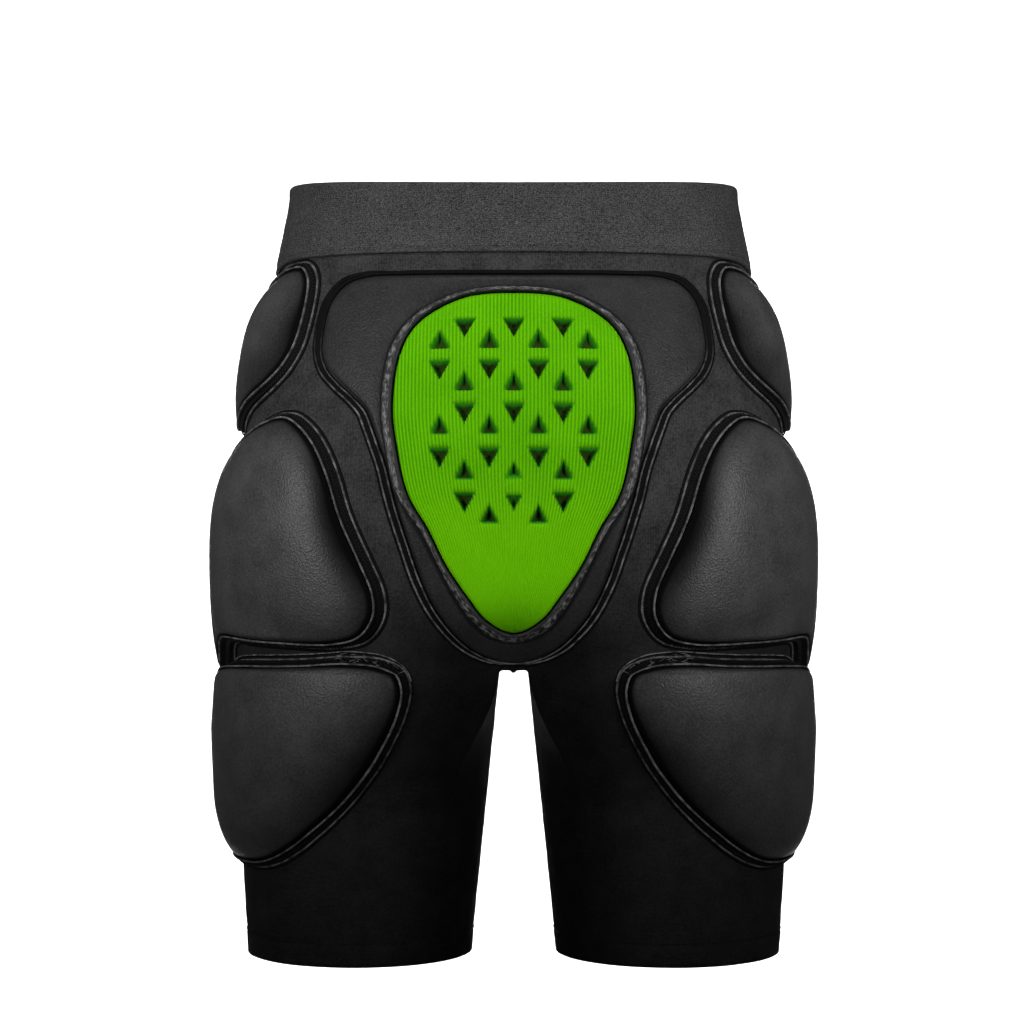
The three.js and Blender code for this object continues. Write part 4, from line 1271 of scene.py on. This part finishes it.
def hem_stitches():
    z = HEM + HEM_FOLD
    inner = inner_thigh(np.linspace(1, 0, 1500), (CROTCH - z) / (CROTCH - HEM))
    loop = np.concatenate([skin(even_turns(4000), z), inner[1:-1]])
    centre = loop.mean(0)
    loop = loop + unit((loop - centre) * FLAT) * 0.15
    closed = np.vstack([loop, loop[:1]])
    length = travelled(closed)
    at = np.arange(0, length[-1] - 2.6, 3.0)[:, None] + np.array([0, 0.5, 1.1, 1.7, 2.2])
    points = np.stack([np.interp(at, length, closed[:, i]) for i in range(3)], -1)
    rise = np.array([-0.25, 0.12, 0.2, 0.12, -0.25])[None, :, None]
    points = points + unit((points - centre) * FLAT) * rise
    both = np.concatenate([points, points * [-1, 1, 1]])
    return threads("hem_stitches", both, HEM_THREAD, finishes["thread"])


# %% The waistband's seam, and the loose edge of the lower pads
def seam_bar():
    """The seam that closes the waistband, and the short bar of thread that holds its ends."""
    count, level = 60, BAND_OUT + 0.05
    drop = np.linspace(TOP - 1.2, TOP - 21, count)
    seam = on_seat(0.12 * np.sin(drop * 3), drop, level)
    turns = np.linspace(0, 5, count)
    zig = 2.8 * (2 * np.abs(turns % 2 - 1) - 1)
    bar = on_seat(zig, TOP - 22.4 - 0.5 * turns + 0.12 * zig**2, level)
    lines = np.stack([seam, bar])
    return threads("waistband_seam_thread", lines, BAR_THREAD, finishes["grey_thread"])


def loose_edge():
    """A last fold of tape on top of the lower pads, caught down by rough stitches at its corner."""
    outline = outlines["lower_thigh_pad"]
    normal = out_of(outline)
    top = np.flatnonzero((normal[:, 1] > 0.12) & (outline[:, 0] > -20))
    top = top[np.argsort(outline[top, 0])]
    along = np.linspace(0, 1, 260)
    share, line = np.linspace(0, 1, len(top)), (outline + normal * 6.6)[top]
    flat = np.stack([np.interp(along, share, line[:, i]) for i in (0, 1)], 1)
    wave = 0.3 * creases(along * 170, 0 * along, 13, 85)
    lift = 1.0 + 0.25 * creases(along * 170, 0 * along, 7, 86)
    fold = on_side(flat[:, 0], flat[:, 1] - wave, lift)
    # The fold gets the pale grey thread finish: a painted highlight along it.
    grey_one = finishes["grey_thread"]
    piece = threads("lower_thigh_pad_fold_right", fold[None], FOLD_THREAD, grey_one)
    draw = np.random.default_rng(87)
    lines = []
    for _ in range(22):
        share = draw.uniform(0.8, 0.99)
        inward = draw.uniform(0.8, 5.0)
        at = np.array([np.interp(share, along, flat[:, i]) for i in (0, 1)]) - [0, inward]
        lean, reach = draw.uniform(-0.9, 0.5), draw.uniform(1.0, 2.2)
        line = at + np.linspace(-1, 1, 5)[:, None] * reach * np.array([np.cos(lean), np.sin(lean)])
        rise = 1.4 + inward / 5.5 * 0.75 * edge_height(PADS["lower_thigh_pad"], line[:, 1], 0.3)
        lines.append(on_side(line[:, 0], line[:, 1], rise + np.array([-0.4, 0.2, 0.4, 0.2, -0.4])))
    rough = threads("lower_thigh_pad_rough_stitches_right", lines, BAR_THREAD, grey_one)
    return piece, rough


hems = hem_stitches()
bar = seam_bar()
loose = loose_edge()
loose += tuple(mirrored(piece.name.replace("right", "left"), piece) for piece in loose)
print("stitch faces", face_counts([*stitches.values(), hems, bar, *loose]))

# %% [markdown]
# ## Left side
# The pads are sewn on as mirrored pairs, so the left ones are mirrored copies.

# %% Mirror the pads
sides = []
for part, pieces in (("cloth", domes), ("tape", rims), ("stitches", stitches)):
    for pad, piece in pieces.items():
        left = mirrored(f"{pad}_{part}_left", piece)
        sides += [(pad, part, "right", piece), (pad, part, "left", left)]
print(len(sides), "side pieces")

# %% [markdown]
# ## Ties to the CAD frame
# Every piece rides on the one body of the frame. The CAD node that it stands for is hidden, and so
# are all the others.

# %% Ride and replace
for pad, part, side, piece in sides:
    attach(piece, "root")
    if part == "cloth":
        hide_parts(f"{pad}_{side}")
    if part == "tape":
        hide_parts(f"{pad}_rim_{side}")
for piece, node, slot in (
    (body, "shorts_body", "stretch_cloth"),
    (hems, None, "stretch_cloth"),
    (bar, None, "waist_elastic"),
    *[(piece, None, "edge_tape") for piece in loose],
    (band, "waistband", "waist_elastic"),
    (panel, "seat_panel", "pad_cloth"),
    (panel_rim, "seat_panel_rim", "edge_tape"),
    (piping, "tailbone_frame", "piping"),
    (tailbone, "tailbone_pad", "green_rib"),
):
    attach(piece, "root")
    if node:
        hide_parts(node)
for node in frame["nodes"].values():
    node.hide_render = True
    node.hide_viewport = True

# %% [markdown]
# ## Studio
# The picture is taken straight from behind, at the height of the seat, with a long lens. A pale sweep
# runs from the floor up the wall, lit by a lamp on each side. Two soft lamps with narrow beams stand
# beside the camera and aim high, so that light falls off towards the hems. One more hangs above, and
# one lights the far side.

# %% Camera, sweep and lamps
camera_data = bpy.data.cameras.new("camera")
camera_data.lens, camera_data.sensor_width = 93.75, 36
camera = placed("camera", camera_data)
camera.location = (-0.001, -1.6, -0.166)
camera.rotation_euler = (np.pi / 2, 0, 0)
bpy.context.scene.camera = camera


WALL, FLOOR, BEND, SWEEP_HALF = 6.2, -1.9, 1.2, 1.8


def sweep():
    angles = np.linspace(0, np.pi / 2, 24)
    bend = [(WALL - BEND + BEND * np.sin(a), FLOOR + BEND - BEND * np.cos(a)) for a in angles]
    line = [(-3, FLOOR), *bend, (WALL, -FLOOR)]
    grid = np.array([[(x, y, z) for y, z in line] for x in (-SWEEP_HALF, SWEEP_HALF)]) / METRE
    return piece_of("floor", grid, weave(2, len(line), False), finish_of("pale sweep", pale, 0.1))


def pale(start):
    grain = speckle(start, place_of(start), 3)
    return grain.blend(grey(0.86), grey(0.88)), grain * 0.05 + 0.85, grain * 0.01


def lamp(name, place, target, size, power, spread=180):
    data = bpy.data.lights.new(name, "AREA")
    data.shape, data.size, data.size_y, data.energy = "RECTANGLE", *size, power
    data.spread = np.radians(spread)
    made = placed(name, data)
    made.location = place
    made.rotation_euler = (Vector(place) - Vector(target)).to_track_quat("Z", "Y").to_euler()


sweep()
WAYS = (("left", -1), ("right", 1))
lamp("above", (0, -0.8, 0.8), (0, -0.05, 0), (1.2, 0.15), 0.85, 38)
for side, way in WAYS:
    lamp(f"front {side}", (way * 1.2, -1.38, 0.1), (way * 0.13, 0, -0.08), (0.4, 0.3), 0.74, 22)
lamp("far side", (0, 1.9, 0.6), (0, 0, -0.15), (0.8, 0.5), 5, 60)
for side, way in WAYS:
    lamp(f"wall {side}", (way * 2.2, 4.3, 0.2), (way * -0.4, 6.2, -0.2), (1.2, 2.6), 170)
world = bpy.data.worlds.new("studio")
world.use_nodes = True
background = world.node_tree.nodes["Background"].inputs
background["Color"].default_value, background["Strength"].default_value = (1, 1, 1, 1), 0.06
bpy.context.scene.world = world
bpy.context.scene.view_settings.view_transform = "Standard"
